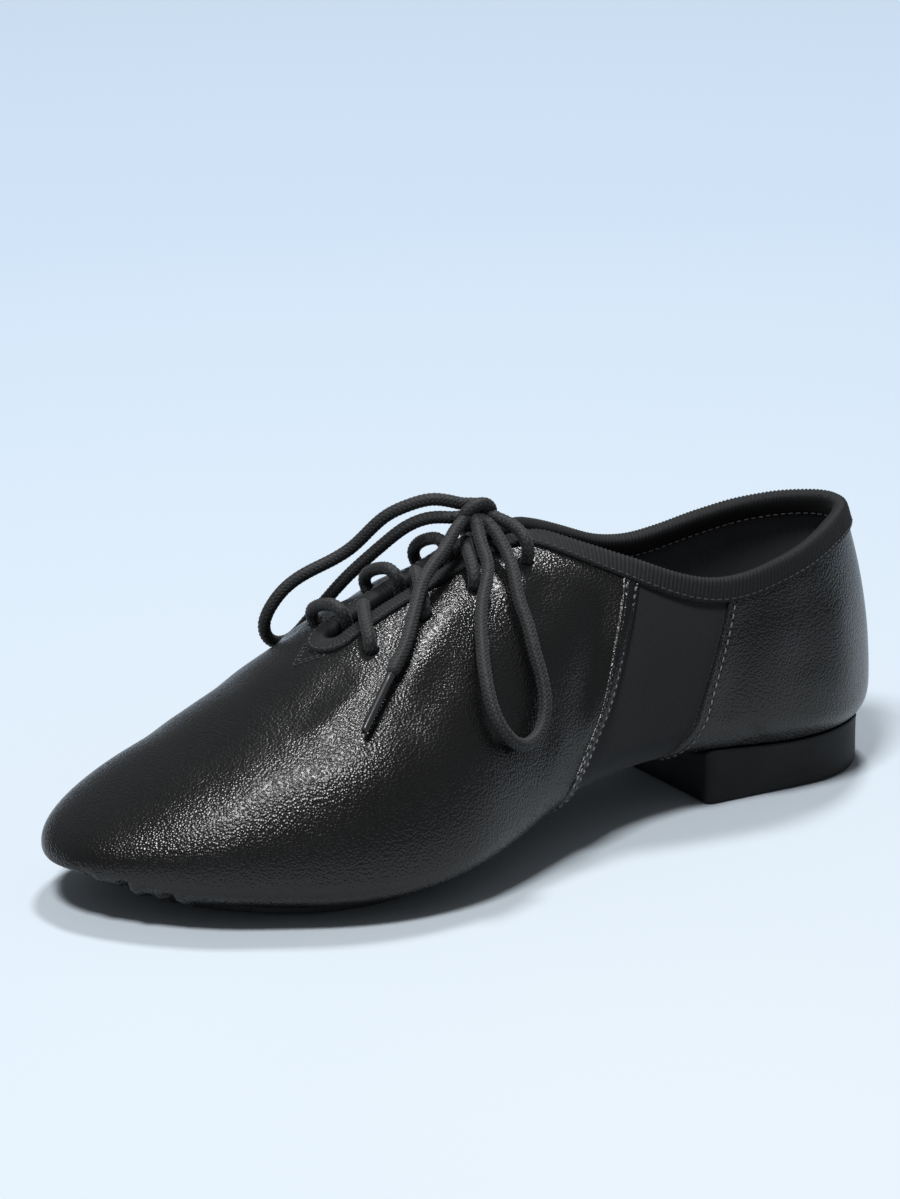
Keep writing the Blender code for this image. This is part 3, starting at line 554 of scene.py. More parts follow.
# A round braided cord along a route. thin: share of its radius at each end
def braidedCord(name, route, thin=(1.0, 1.0), radius=laceDiameter / 2):
    points = evenPoints(route, braid["step"])
    ahead, side, other = carriedFrame(points)
    count = braid["around"]
    angle = np.linspace(0, math.tau, count, endpoint=False)
    way = np.arange(len(points)) * braid["step"]
    first = braid["strands"] * angle[None, :] / math.tau + way[:, None] / braid["pitch"]
    second = braid["strands"] * angle[None, :] / math.tau - way[:, None] / braid["pitch"]
    a, b = np.sin(math.pi * first), np.sin(math.pi * second)
    over = (a * b) > 0
    pillow = np.where(over, np.abs(a) ** 0.9 * np.abs(b) ** 0.35, np.abs(b) ** 0.9 * np.abs(a) ** 0.35)
    end = np.minimum(thin[0] + way / braid["taper"], thin[1] + (way[-1] - way) / braid["taper"])
    end = np.minimum(1, end)
    reach = (radius - braid["depth"] * 0.7 + braid["depth"] * pillow) * end[:, None]
    shape = (points[:, None] + side[:, None] * (np.cos(angle)[None, :] * reach)[..., None]
             + other[:, None] * (np.sin(angle)[None, :] * reach)[..., None])
    spots = shape.reshape(-1, 3)
    uv = np.stack([np.broadcast_to(angle[None, :] * radius, reach.shape),
                   np.broadcast_to(way[:, None], reach.shape)], -1).reshape(-1, 2)
    faces = [list(f) for f in gridFaces(len(points), count, closedCount=True)]
    for row, direction in ((0, -1), (len(points) - 1, 1)):
        tip = len(spots)
        spots = np.vstack([spots, points[row] + ahead[row] * direction * radius * 0.15])
        uv = np.vstack([uv, [0, way[row]]])
        ring = [row * count + k for k in range(count)]
        faces.extend([ring[k], ring[(k + 1) % count], tip] for k in range(count))
    # painted shade: the braid's low places, and the strands that dip under, are drawn darker
    paintedShade = np.concatenate([(pillow * np.where(over, 1.0, braid["under"])).reshape(-1), [0, 0]])
    return makePiece(name, spots, faces, [cordYarn], uv, sharp=80, paintedShade=paintedShade), points


# Routes of the lace's free stretches, as in the solids
knotCentre = np.array((0.0040, 0.0117, 0.0850))
nearLoopRoute = (
    (0.0014, 0.0068, 0.0832), (-0.0004, 0.0024, 0.0804), (-0.0024, -0.0038, 0.0764),
    (-0.0086, -0.0112, 0.0706), (-0.0156, -0.0212, 0.0624), (-0.0205, -0.0318, 0.0527),
    (-0.0210, -0.0354, 0.0480), (-0.0195, -0.0380, 0.0431), (-0.0145, -0.0380, 0.0388),
    (-0.0085, -0.0358, 0.0388), (-0.0042, -0.0332, 0.0422), (-0.0024, -0.0312, 0.0458),
    (-0.0012, -0.0280, 0.0511), (-0.0007, -0.0236, 0.0575), (0.0004, -0.0188, 0.0631),
    (0.0014, -0.0132, 0.0684), (0.0034, -0.0078, 0.0732), (0.0052, -0.0012, 0.0778),
    (0.0056, 0.0030, 0.0806), (0.0055, 0.0067, 0.0829),
)
farLoopRoute = (
    (-0.0004, 0.0151, 0.0884), (-0.0055, 0.0178, 0.0894), (-0.0110, 0.0210, 0.0880),
    (-0.0160, 0.0245, 0.0850), (-0.0195, 0.0275, 0.0808), (-0.0235, 0.0305, 0.0758),
    (-0.0290, 0.0330, 0.0722), (-0.0350, 0.0350, 0.0695), (-0.0400, 0.0370, 0.0660),
    (-0.0440, 0.0385, 0.0610), (-0.0455, 0.0400, 0.0555), (-0.0425, 0.0415, 0.0500),
    (-0.0365, 0.0422, 0.0490), (-0.0320, 0.0405, 0.0535), (-0.0285, 0.0370, 0.0595),
    (-0.0250, 0.0328, 0.0660), (-0.0208, 0.0284, 0.0722), (-0.0165, 0.0245, 0.0776),
    (-0.0120, 0.0205, 0.0824), (-0.0070, 0.0170, 0.0847), (-0.0024, 0.0134, 0.0849),
)
endRoute = (
    (-0.0022, 0.0096, 0.0843), (-0.0055, 0.0076, 0.0830), (-0.0095, 0.0050, 0.0807),
    (-0.0160, 0.0010, 0.0780), (-0.0230, -0.0040, 0.0750), (-0.0290, -0.0098, 0.0706),
    (-0.0340, -0.0148, 0.0668), (-0.0385, -0.0188, 0.0634), (-0.0424, -0.0212, 0.0606),
    (-0.0440, -0.0222, 0.0594),
)
tipWay = np.array((-0.0133, -0.0078, -0.0109))
lastNear = ((0.0118, -0.0012, 0.0786), (0.0113, 0.0030, 0.0822), (0.0088, 0.0083, 0.0841))
lastFar = ((0.0118, 0.0272, 0.0775), (0.0114, 0.0232, 0.0826), (0.0083, 0.0156, 0.0849))


# The plastic tip: rings along its way, pressed a little where it grips the cord
tipRings = (
    (0.0000, 0.00122), (0.0004, 0.00128), (0.0016, 0.00122), (0.0024, 0.00112), (0.0034, 0.00118),
    (0.0100, 0.00115), (0.0172, 0.00110), (0.0181, 0.00098), (0.0185, 0.00070),
)


def makeTip():
    start = np.array(endRoute[-1]) + unit(tipWay) * clearance
    ahead = unit(tipWay)
    side = unit(np.cross(ahead, (0, 0, 1)))
    other = np.cross(ahead, side)
    count = 28
    angle = np.linspace(0, math.tau, count, endpoint=False)
    turned = np.outer(np.cos(angle), side) + np.outer(np.sin(angle), other)
    spots = np.concatenate([start + ahead * at + turned * reach for at, reach in tipRings])
    faces = [list(f) for f in gridFaces(len(tipRings), count, closedCount=True)]
    faces.append(list(range(count)))
    faces.append(list(range(len(spots) - count, len(spots))))
    return makePiece("shoe_lace_tip", spots, faces, [plastic], sharp=35)


def joinPieces(name, pieces):
    work = bmesh.new()
    for piece in pieces:
        work.from_mesh(piece.data)
    mesh = pieces[0].data
    work.to_mesh(mesh)
    work.free()
    for piece in pieces[1:]:
        bpy.data.objects.remove(piece, do_unlink=True)
    pieces[0].name = name
    return pieces[0]


# The knot's strands in millimetres from its middle: two wraps, the cords they hold, and one behind
knotWays = (
    ((-5.2, 1.4, -2.2), (-4.0, -0.6, 1.0), (-1.8, -1.4, 3.0), (1.0, -1.6, 3.4), (3.6, -1.0, 2.0),
     (4.8, 0.4, -0.8), (4.2, 1.6, -3.0)),
    ((-4.4, 3.4, 3.4), (-2.6, 2.6, 2.9), (0.0, 1.8, 2.6), (2.6, 1.2, 1.6), (4.0, 0.0, -0.8),
     (2.4, -1.8, -2.6)),
    ((-6.4, 1.7, -0.1), (-4.4, 0.8, 0.0), (-1.8, -0.8, 0.0), (0.4, -2.8, -0.8), (1.5, -5.0, -2.1)),
    ((-2.6, -4.9, -1.8), (-1.8, -2.8, -0.4), (-0.6, 0.2, 0.6), (0.6, 3.2, 0.2)),
    ((-6.2, -2.1, -0.7), (-4.4, -1.3, -0.2), (-1.6, -0.6, 0.4), (1.6, 0.4, 0.2)),
    ((4.8, -3.4, -0.9), (3.6, -2.0, -0.2), (1.6, -0.2, 0.4), (-1.2, 1.6, 0.2)),
    ((4.3, 3.9, -0.1), (2.8, 2.9, 0.4), (0.6, 1.4, 0.6), (-2.0, 0.2, -0.2)),
    ((-3.6, 2.6, -2.6), (-1.2, 0.6, -3.0), (1.6, -1.0, -2.8), (3.8, -0.2, -2.2)),
)


def makeKnot():
    mm = 0.001
    routes = [[knotCentre + np.array(p) * mm for p in way] for way in knotWays]
    return joinPieces("shoe_lace_knot", [braidedCord("knot_bit", route)[0] for route in routes])


tip = makeTip()
knot = makeKnot()
nearLoop, nearLine = braidedCord("shoe_lace_loop_near", nearLoopRoute)
farLoop, farLine = braidedCord("shoe_lace_loop_far", farLoopRoute)
laceEnd, endLine = braidedCord("shoe_lace_end", endRoute, thin=(1.0, 0.72))
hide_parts("lace_tip")
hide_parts("lace_knot")
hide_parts("lace_loop_near")
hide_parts("lace_loop_far")
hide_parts("lace_end")
print("camera and bow are in place")


def throatSpot(x, aside, lift):
    turn = turnAside(x, aside) if abs(aside) > 1e-6 else np.array(math.pi)
    return surface(x, turn) + outward(x, turn) * lift - middle


# A strand from its hole over its own edge and under the other one: aside, lift and share of the way
lowStrand = (
    (0.0142, 0.0011, 0.00), (0.0132, 0.0025, 0.08), (0.0112, 0.0033, 0.22), (0.0082, 0.0037, 0.42),
    (0.0050, 0.0039, 0.66), (0.0022, 0.0036, 0.88), (0.0003, 0.0016, 1.00),
)
highStrand = (
    (0.0142, 0.0012, 0.00), (0.0134, 0.0028, 0.04), (0.0116, 0.0040, 0.12), (0.0084, 0.0050, 0.35),
    (0.0052, 0.0056, 0.60), (0.0018, 0.0056, 0.85), (-0.0002, 0.0038, 1.00), (-0.0002, 0.0012, 1.00),
)
underStrand = (
    (0.0000, -0.0016, 0.00), (-0.0002, -0.0047, 0.03), (-0.0033, -0.0067, 0.22), (-0.0084, -0.0063, 0.60),
    (-0.0120, -0.0052, 0.90), (-0.0137, -0.0038, 0.98), (-0.0142, -0.0024, 1.00),
)
lowSlit = 0.0075
highSlit = 0.0015


def strand(pair, side, high):
    start = holeFirst + pair * holePitch
    slit = start + (highSlit if high else lowSlit)
    route = [throatSpot(start + (slit - start) * share, side * aside, lift)
             for aside, lift, share in (highStrand if high else lowStrand)]
    return route + [throatSpot(slit + (start + holePitch - slit) * share, side * aside, lift)
                    for aside, lift, share in underStrand]


def laceHalf(side, lastPoints):
    route = []
    for pair in range(3):
        route.append(throatSpot(holeFirst + pair * holePitch, side * holeSpread, -wall / 2))
        route.extend(strand(pair, side, side > 0))
        side = -side
    for lift in (-wall / 2, 0.0012):
        route.append(throatSpot(holeFirst + 3 * holePitch, side * holeSpread, lift))
    return route + [np.array(p) for p in lastPoints]


def makeCrossings():
    bar = [throatSpot(holeFirst - 0.0016 * (1 - abs(aside) / holeSpread), aside, lift)
           for aside, lift in ((-0.0137, -0.0034), (-0.0100, -0.0060), (-0.0050, -0.0084), (0.0, -0.0092),
                               (0.0050, -0.0084), (0.0100, -0.0060), (0.0137, -0.0034))]
    route = laceHalf(-1, lastFar)[::-1] + bar + laceHalf(1, lastNear)
    made, _ = braidedCord("shoe_lace_crossings", route)
    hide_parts("lace_crossings")


makeCrossings()
print("lace runs through its holes")

# Folds, listed one by one. line: share of the length and degrees of turn. wide and high in metres,
# high under 0 for a trough
folds = (
    # puckers of the near facing, drawn by the lace
    {"line": ((0.326, -155), (0.290, -152), (0.256, -150), (0.221, -148)), "wide": 0.0036, "high": 0.0008},
    {"line": ((0.480, -162), (0.422, -156), (0.369, -149), (0.318, -141)), "wide": 0.0044, "high": 0.0010},
    {"line": ((0.404, -172), (0.368, -163), (0.336, -157)), "wide": 0.0030, "high": -0.0006},
    {"line": ((0.310, -165), (0.270, -161), (0.235, -158)), "wide": 0.0040, "high": -0.0004},
    {"line": ((0.400, -144), (0.350, -137), (0.300, -131)), "wide": 0.0050, "high": -0.0005},
    {"line": ((0.552, -160), (0.530, -152), (0.500, -144)), "wide": 0.0048, "high": 0.0007},
    {"line": ((0.560, -150), (0.540, -142), (0.515, -136)), "wide": 0.0045, "high": -0.0005},
    # the same on the far facing
    {"line": ((0.365, 165), (0.345, 152), (0.310, 138)), "wide": 0.0060, "high": 0.0006},
    {"line": ((0.327, 160), (0.310, 148), (0.290, 136)), "wide": 0.0040, "high": -0.0005},
    {"line": ((0.437, 165), (0.425, 152), (0.400, 138)), "wide": 0.0060, "high": 0.0006},
    {"line": ((0.400, 160), (0.385, 148), (0.360, 137)), "wide": 0.0042, "high": -0.0005},
    {"line": ((0.510, 164), (0.505, 152), (0.490, 139)), "wide": 0.0062, "high": 0.0005},
    {"line": ((0.471, 159), (0.462, 147), (0.445, 136)), "wide": 0.0045, "high": -0.0005},
    # leather swells ahead of the front seam, with a trough beside it
    {"line": ((0.640, -140), (0.628, -125), (0.603, -115), (0.572, -105), (0.540, -95)),
     "wide": 0.0040, "high": 0.0008},
    {"line": ((0.616, -140), (0.596, -123), (0.568, -112), (0.536, -102)), "wide": 0.0055, "high": -0.0011},
    {"line": ((0.640, 140), (0.628, 125), (0.603, 115), (0.572, 105), (0.540, 95)),
     "wide": 0.0042, "high": 0.0005},
    {"line": ((0.615, 138), (0.592, 122), (0.560, 110)), "wide": 0.0060, "high": -0.0006},
    # quarter
    {"line": ((0.772, -122), (0.770, -108), (0.755, -97), (0.730, -86)), "wide": 0.0050, "high": -0.0006},
    {"line": ((0.812, -118), (0.806, -104), (0.796, -88), (0.780, -74)), "wide": 0.0080, "high": 0.0007},
    {"line": ((0.850, -124), (0.852, -110), (0.845, -96)), "wide": 0.0070, "high": -0.0005},
    {"line": ((0.905, -120), (0.900, -104), (0.890, -88)), "wide": 0.0080, "high": 0.0005},
    {"line": ((0.775, 122), (0.770, 108), (0.757, 96)), "wide": 0.0055, "high": -0.0006},
    {"line": ((0.820, 120), (0.812, 104), (0.800, 88)), "wide": 0.0085, "high": 0.0007},
    {"line": ((0.880, 122), (0.878, 106), (0.868, 92)), "wide": 0.0070, "high": -0.0005},
    # over the heel block
    {"line": ((0.760, -58), (0.800, -60), (0.850, -62), (0.900, -64)), "wide": 0.0030, "high": -0.0004},
    {"line": ((0.760, 58), (0.800, 60), (0.850, 62), (0.900, 64)), "wide": 0.0030, "high": -0.0004},
    # long soft dents of the vamp and waist
    {"line": ((0.130, -150), (0.190, -142), (0.260, -132), (0.330, -122)), "wide": 0.0110, "high": 0.0006},
    {"line": ((0.120, -118), (0.200, -112), (0.300, -108), (0.400, -106)), "wide": 0.0100, "high": -0.0005},
    {"line": ((0.400, -120), (0.440, -116), (0.480, -108), (0.510, -98)), "wide": 0.0090, "high": -0.0007},
    {"line": ((0.420, 120), (0.460, 114), (0.500, 104)), "wide": 0.0090, "high": -0.0008},
    {"line": ((0.150, 140), (0.220, 132), (0.300, 126)), "wide": 0.0120, "high": 0.0006},
    {"line": ((0.225, -172), (0.240, -150), (0.235, -130)), "wide": 0.0050, "high": -0.0003},
    {"line": ((0.225, 172), (0.242, 150), (0.235, 130)), "wide": 0.0050, "high": -0.0003},
)
# Pleats where the leather is drawn under the toe, on both sides, each with a fold of leather behind it
pleats = (
    {"line": ((0.009, 84), (0.013, 62), (0.020, 39), (0.028, 8)), "wide": 0.0009, "high": -0.0009},
    {"line": ((0.033, 78), (0.040, 56), (0.051, 34), (0.062, 6)), "wide": 0.0014, "high": -0.0018},
    {"line": ((0.055, 52), (0.064, 42), (0.075, 32), (0.086, 8)), "wide": 0.0009, "high": -0.0009},
    {"line": ((0.066, 69), (0.076, 54), (0.089, 40), (0.104, 10)), "wide": 0.0013, "high": -0.0016},
)


# Height of the folds at points: each falls off across its line and fades towards its ends
def foldHeight(points, line, wide, high):
    line = np.array(line, float)
    steps = np.linspace(0, len(line) - 1, 5 * len(line))
    at = np.interp(steps, range(len(line)), line[:, 0])
    turn = np.interp(steps, range(len(line)), line[:, 1])
    way = surface(at * shoeLength, np.radians(turn))
    nearest = np.full(len(points), 9.0)
    share = np.zeros(len(points))
    for i in range(len(way) - 1):
        step = way[i + 1] - way[i]
        t = np.clip((points - way[i]) @ step / (step @ step), 0, 1)
        gap = np.linalg.norm(points - way[i] - t[:, None] * step, axis=1)
        closer = gap < nearest
        nearest = np.where(closer, gap, nearest)
        share = np.where(closer, (i + t) / (len(way) - 1), share)
    fade = blend(share, 0, 0.25) * (1 - blend(share, 0.75, 1))
    fade = fade * np.exp(-np.clip(nearest / wide, 0, 6) ** 2)
    return high * fade


pleatFold = {"behind": 0.008, "wide": 1.5, "high": 0.55}      # shares of the length and of the pleat
waves = ((42, 0.00018), (110, 0.00003))                       # waves in a metre and their height
dimple = {"deep": 0.00016, "reach": 0.0034}                   # round each lace hole
# Rows of stitches lie back from a seam, in a groove. The gore lies low, and a pipe ends it
seamSizes = {
    "edge": 0.0003, "strip": 0.0042, "stripHigh": 0.0004, "frontRows": (0.0009, 0.0033), "rearRow": 0.0030,
    "frontGroove": 0.0003, "rearGroove": 0.00035, "groove": 0.00016, "goreDeep": 0.0005, "goreSag": 0.0003,
    "pipe": 0.0008, "pipeHigh": 0.0005, "fadeFrom": 45, "fadeTo": 62,
}


# Seams lie flat under the foot: how much of their relief is left at a turn
def seamShare(degrees):
    return blend(degrees, seamSizes["fadeFrom"], seamSizes["fadeTo"])


def leatherHeight(nominal, turn, x, points):
    degrees = np.abs(np.degrees(turn))
    height = np.zeros(len(points))
    for fold in folds:
        height += foldHeight(points, **fold)
    for pleat in pleats:
        for side in (-1, 1):
            line = [(at, side * angle) for at, angle in pleat["line"]]
            height += foldHeight(points, line, pleat["wide"], pleat["high"])
            line = [(at + pleatFold["behind"], side * angle) for at, angle in pleat["line"]]
            height += foldHeight(points, line, pleat["wide"] * pleatFold["wide"],
                                 -pleat["high"] * pleatFold["high"])
    for i, p in enumerate(points):
        height[i] += sum(high * noise.noise(Vector(p) * often) for often, high in waves)
    for pair in range(4):
        for side in (-1, 1):
            at = holeFirst + pair * holePitch
            spot = surface(at, turnAside(at, side * holeSpread))
            gap = np.linalg.norm(points - spot, axis=1)
            height += -dimple["deep"] * np.exp(-(gap / dimple["reach"]) ** 2)
    height *= blend(-opening(x, turn), 0.0035, 0.0095) * blend(x, 0.0, 0.004) * blend(degrees, 0, 12)
    # seams: a flat strip ahead of the gore, the gore set back, and a piped edge behind it
    s = seamSizes
    flat = seamShare(degrees)
    strip = blend(nominal, frontSeam - s["strip"], frontSeam - s["strip"] + s["edge"])
    strip = strip * (1 - blend(nominal, frontSeam - s["edge"], frontSeam))
    rows = sum(np.exp(-((nominal - frontSeam + back) / s["frontGroove"]) ** 2) for back in s["frontRows"])
    height += (s["stripHigh"] * strip - s["groove"] * rows) * flat
    inGore = blend(nominal, frontSeam, frontSeam + s["edge"])
    inGore = inGore * (1 - blend(nominal, rearSeam - s["edge"], rearSeam))
    sag = np.sin(np.clip((nominal - frontSeam) / (rearSeam - frontSeam), 0, 1) * math.pi)
    height = height * (1 - inGore * 0.6) - inGore * (s["goreDeep"] + s["goreSag"] * sag * flat)
    pipe = np.sqrt(np.clip(1 - ((nominal - rearSeam - s["pipe"]) / s["pipe"]) ** 2, 0, 1))
    rows = np.exp(-((nominal - rearSeam - s["rearRow"]) / s["rearGroove"]) ** 2)
    return height + (s["pipeHigh"] * pipe - s["groove"] * rows) * flat


def upperColumns():
    toe = toeReach * (1 - np.cos(np.radians(np.linspace(0, 90, 66))))
    spans = (
        (toeReach, throatFront - 0.0008, 0.0012), (throatFront - 0.0008, throatFront + 0.0042, 0.0004),
        (throatFront + 0.0042, frontSeam - 0.0052, 0.0012), (frontSeam - 0.0052, frontSeam + 0.0008, 0.0002),
        (frontSeam + 0.0008, rearSeam - 0.0006, 0.0013), (rearSeam - 0.0006, rearSeam + 0.0040, 0.0002),
        (rearSeam + 0.0040, shoeLength - heelReach, 0.0012),
    )
    parts = [toe]
    for start, end, step in spans:
        parts.append(np.linspace(start, end, max(2, round((end - start) / step) + 1))[1:])
    parts.append(shoeLength - heelReach + heelReach * np.sin(np.radians(np.linspace(0, 90, 52)[1:])))
    return np.concatenate(parts)


def makeUpper():
    nominals = upperColumns()
    half = 62
    share = 1 - np.arange(half + 1) / half
    edges = {side: turnAt(nominals, side, 0.0) for side in (-1, 1)}
    turns = np.concatenate([-edges[-1][:, None] * share, (edges[1][:, None] * share)[:, -2::-1]], axis=1)
    rows, size = turns.shape
    nominal = np.broadcast_to(nominals[:, None], turns.shape)
    x = columnX(nominal, turns)
    base = surface(x, turns)
    normal = outward(x, turns)
    flat = [a.reshape(-1) for a in (nominal, turns, x)]
    raised = leatherHeight(*flat, base.reshape(-1, 3)).reshape(turns.shape)
    raised[0] = 0
    outer = base + normal * raised[..., None]
    inner = base - normal * wall
    around = np.cumsum(np.linalg.norm(np.diff(base, axis=1), axis=2), axis=1)
    around = np.concatenate([np.zeros((rows, 1)), around], axis=1)
    around = around - around[:, half:half + 1]
    uv = np.stack([nominal, around], -1).reshape(-1, 2)
    spots = np.concatenate([outer.reshape(-1, 3), inner.reshape(-1, 3)]) - middle
    outerFaces = gridFaces(rows, size)
    innerFaces = gridFaces(rows, size, start=rows * size)[:, ::-1]
    middles = (nominals[:-1] + nominals[1:]) / 2
    goreColumn = (middles > frontSeam + 0.0001) & (middles < rearSeam - 0.0001)
    slots = np.concatenate([np.repeat(np.where(goreColumn, 1, 0), size - 1), np.full(len(innerFaces), 2)])
    faces = [list(f) for f in outerFaces] + [list(f) for f in innerFaces]
    rim = []
    shut = [np.linalg.norm(base[j, 0] - base[j, -1]) < 1e-7 for j in range(rows)]
    for j in range(rows - 1):
        if shut[j] and shut[j + 1]:
            continue
        for k in (0, size - 1):
            a, b = j * size + k, (j + 1) * size + k
            rim.append([a, b, b + rows * size, a + rows * size])
    slots = np.concatenate([slots, np.full(len(rim), 0)])
    made = makePiece("shoe_upper", spots, faces + rim, [leather, gore, lining],
                     np.concatenate([uv, uv]), slots, merge=1e-6, sharp=50)
    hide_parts("upper")
    return made


upper = makeUpper()
print("upper has", len(upper.data.polygons), "faces")


# Real holes for the lace through the wall
def cutHoles(piece):
    work = bmesh.new()
    for pair in range(4):
        for side in (-1, 1):
            at = holeFirst + pair * holePitch
            turn = turnAside(at, side * holeSpread)
            normal = Vector(outward(at, turn))
            ring = bmesh.ops.create_cone(work, cap_ends=True, segments=28, radius1=holeDiameter / 2,
                                         radius2=holeDiameter / 2, depth=wall * 4)["verts"]
            turned = Vector((0, 0, 1)).rotation_difference(normal).to_matrix()
            for vert in ring:
                vert.co = turned @ vert.co + Vector(surface(at, turn) - middle) - normal * wall / 2
    mesh = bpy.data.meshes.new("hole cutters")
    work.to_mesh(mesh)
    work.free()
    for polygon in mesh.polygons:
        polygon.material_index = 1      # the matt gore finish, as a punched edge has no gloss
    cutter = bpy.data.objects.new("hole cutters", mesh)
    bpy.context.scene.collection.objects.link(cutter)
    cut = piece.modifiers.new("lace holes", "BOOLEAN")
    cut.operation = "DIFFERENCE"
    cut.solver = "EXACT"
    cut.object = cutter
    bpy.context.view_layer.update()
    result = bpy.data.meshes.new_from_object(piece.evaluated_get(bpy.context.evaluated_depsgraph_get()))
    piece.modifiers.clear()
    piece.data = result
    work = bmesh.new()
    work.from_mesh(result)
    for edge in work.edges:
        if len(edge.link_faces) == 2 and edge.calc_face_angle(0) > math.radians(50):
            edge.smooth = False
    work.to_mesh(result)
    work.free()
    bpy.data.objects.remove(cutter, do_unlink=True)


cutHoles(upper)
print("holes are cut")

bindingLooks = {
    "rib": 0.00115, "depth": 0.00012, "steps": 4,      # steps of the mesh for each rib
    "sway": ((0.0137, 0.00002), (0.031, 0.00003)),      # length and height of its long waves
}
# Section of the folded tape: share of its reach down from the edge, metres past it, metres over the wall
tapeSection = (
    (1.00, 0.0, 0.00015), (1.00, 0.0, 0.00075), (0.92, 0.0, 0.00098), (0.78, 0.0, 0.00104),
    (0.60, 0.0, 0.00108), (0.42, 0.0, 0.00110), (0.24, 0.0, 0.00112), (0.08, 0.0, 0.00108),
    (0.0, 0.00042, 0.00080),
    (0.0, 0.00085, 0.00025), (0.0, 0.00102, -0.00060), (0.0, 0.00098, -0.00150), (0.0, 0.00070, -0.00230),
    (0.0, 0.00020, -0.00285), (0.15, 0.0, -0.00315), (0.45, 0.0, -0.00315), (0.75, 0.0, -0.00310),
    (0.95, 0.0, -0.00295), (1.00, 0.0, -0.00260), (1.00, 0.0, -0.00190),
)


# Places along the whole edge: round the throat's front, up the far side, and back along the near one
def edgePlaces(depths):
    start = throatFront + throatGap
    fan = np.radians(np.linspace(-88, 88, 120))
    columnsAt = np.concatenate([
        np.linspace(start + 0.0002, shoeLength - heelReach, 700)[:-1],
        shoeLength - heelReach + heelReach * np.sin(np.radians(np.linspace(0, 90, 420))),
    ])
    points, normals = [], []
    for depth in depths:
        reach = throatGap + depth * bindingThroat
        at = start - reach * np.cos(fan)
        turn = turnAside(at, reach * np.sin(fan))
        parts = [(surface(at, turn), outward(at, turn))]
        for side, order in ((1, columnsAt), (-1, columnsAt[-2::-1])):
            turn = side * turnAt(order, side, -depth * bindingReach(order))
            at = columnX(order, turn)
            parts.append((surface(at, turn), outward(at, turn)))
        points.append(np.concatenate([p for p, _ in parts]))
        normals.append(np.concatenate([n for _, n in parts]))
    points, normals = np.array(points), np.array(normals)
    # even steps along the line halfway down the tape
    loop = np.concatenate([points, points[:, :1]], axis=1)
    lead = loop[len(depths) // 2]
    along = runAlong(lead)
    count = round(along[-1] / bindingLooks["rib"]) * bindingLooks["steps"]
    places = np.linspace(0, along[-1], count, endpoint=False)
    turned = np.concatenate([normals, normals[:, :1]], axis=1)
    even, faced = [np.array([pointsAt(places, along, row) for row in rows]) for rows in (loop, turned)]
    return even, unit(faced), places


def makeBinding():
    depths = [0.0, 0.08, 0.15, 0.24, 0.42, 0.45, 0.60, 0.75, 0.78, 0.92, 0.95, 1.0]
    points, normals, places = edgePlaces(depths)
    past = unit(points[0] - points[3])
    rib = bindingLooks["depth"] * np.cos(places / bindingLooks["rib"] * math.tau)
    for long, high in bindingLooks["sway"]:
        rib = rib + high * np.sin(places / long * math.tau)
    rings = []
    for share, beyond, lift in tapeSection:
        d = depths.index(share)
        spot = points[d] + past * (beyond + (rib * (beyond > 0))[..., None] if beyond > 0 else 0)
        outside = 1 if lift > -0.0008 else -1
        rings.append(spot + normals[d] * (lift + outside * rib * (0.00015 < abs(lift) < 0.0031))[:, None])
    shape = np.array(rings).transpose(1, 0, 2)
    size = len(tapeSection)
    across = runAlong(shape[0])
    uv = np.stack([np.broadcast_to(across[None, :], shape.shape[:2]),
                   np.broadcast_to(places[:, None], shape.shape[:2])], -1).reshape(-1, 2)
    faces = gridFaces(len(shape), size, closedRows=True, closedCount=True)
    # painted shade between the ribs, darkest in their valleys
    ribHeight = np.repeat(0.5 + 0.5 * np.cos(places / bindingLooks["rib"] * math.tau), size)
    made = makePiece("shoe_binding", shape.reshape(-1, 3) - middle, faces, [tape], uv, sharp=70,
                     paintedShade=ribHeight)
    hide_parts("edge_binding")


makeBinding()
print("binding is folded over the edge")


# Short stitches along a line, each a small rounded bead that dips at its ends
def stitches(points, normals, pitch, long, thick):
    along = runAlong(points)
    places = np.arange(pitch / 2, along[-1], pitch)
    at = pointsAt(places, along, points)
    up = unit(pointsAt(places, along, normals))
    ahead = unit(pointsAt(places + 1e-4, along, points) - pointsAt(places - 1e-4, along, points))
    side = unit(np.cross(up, ahead))
    angle = np.linspace(0, math.tau, 6, endpoint=False)
    spots, faces, uv = [], [], []
    for n in range(len(places)):
        start = len(spots)
        for share, size in ((-1.0, 0.15), (-0.8, 0.7), (-0.3, 1.0), (0.3, 1.0), (0.8, 0.7), (1.0, 0.15)):
            for a in angle:
                spots.append(at[n] + ahead[n] * share * long / 2 + side[n] * math.cos(a) * size * thick / 2
                             + up[n] * (math.sin(a) * size * thick / 2 + thick * 0.18 * (1 - share * share)))
                uv.append((a * thick / 2, places[n] + share * long / 2))
        for ring in range(5):
            for k in range(6):
                low = start + ring * 6
                faces.append([low + k, low + (k + 1) % 6, low + 6 + (k + 1) % 6, low + 6 + k])
        faces.append([start + k for k in range(6)])
        faces.append([start + 30 + k for k in range(6)])
    return spots, faces, uv


def addStitchPiece(name, rows, finish):
    spots, faces, uv = [], [], []
    for row in rows:
        s, f, u = stitches(*row)
        faces.extend([[i + len(spots) for i in face] for face in f])
        spots.extend(s)
        uv.extend(u)
    return makePiece(name, np.array(spots), faces, [finish], uv, sharp=80)


# A line along a seam column from one side's binding under the arch to the other's, lifted by a height
def seamLine(nominal, lift):
    near = float(turnAt(nominal, -1, -0.0062))
    far = float(turnAt(nominal, 1, -0.0062))
    turn = np.linspace(-near, far, 900)
    x = columnX(np.full(900, nominal), turn)
    flat = seamShare(np.abs(np.degrees(turn)))
    normal = outward(x, turn)
    return surface(x, turn) + normal * (lift * flat)[:, None] - middle, normal


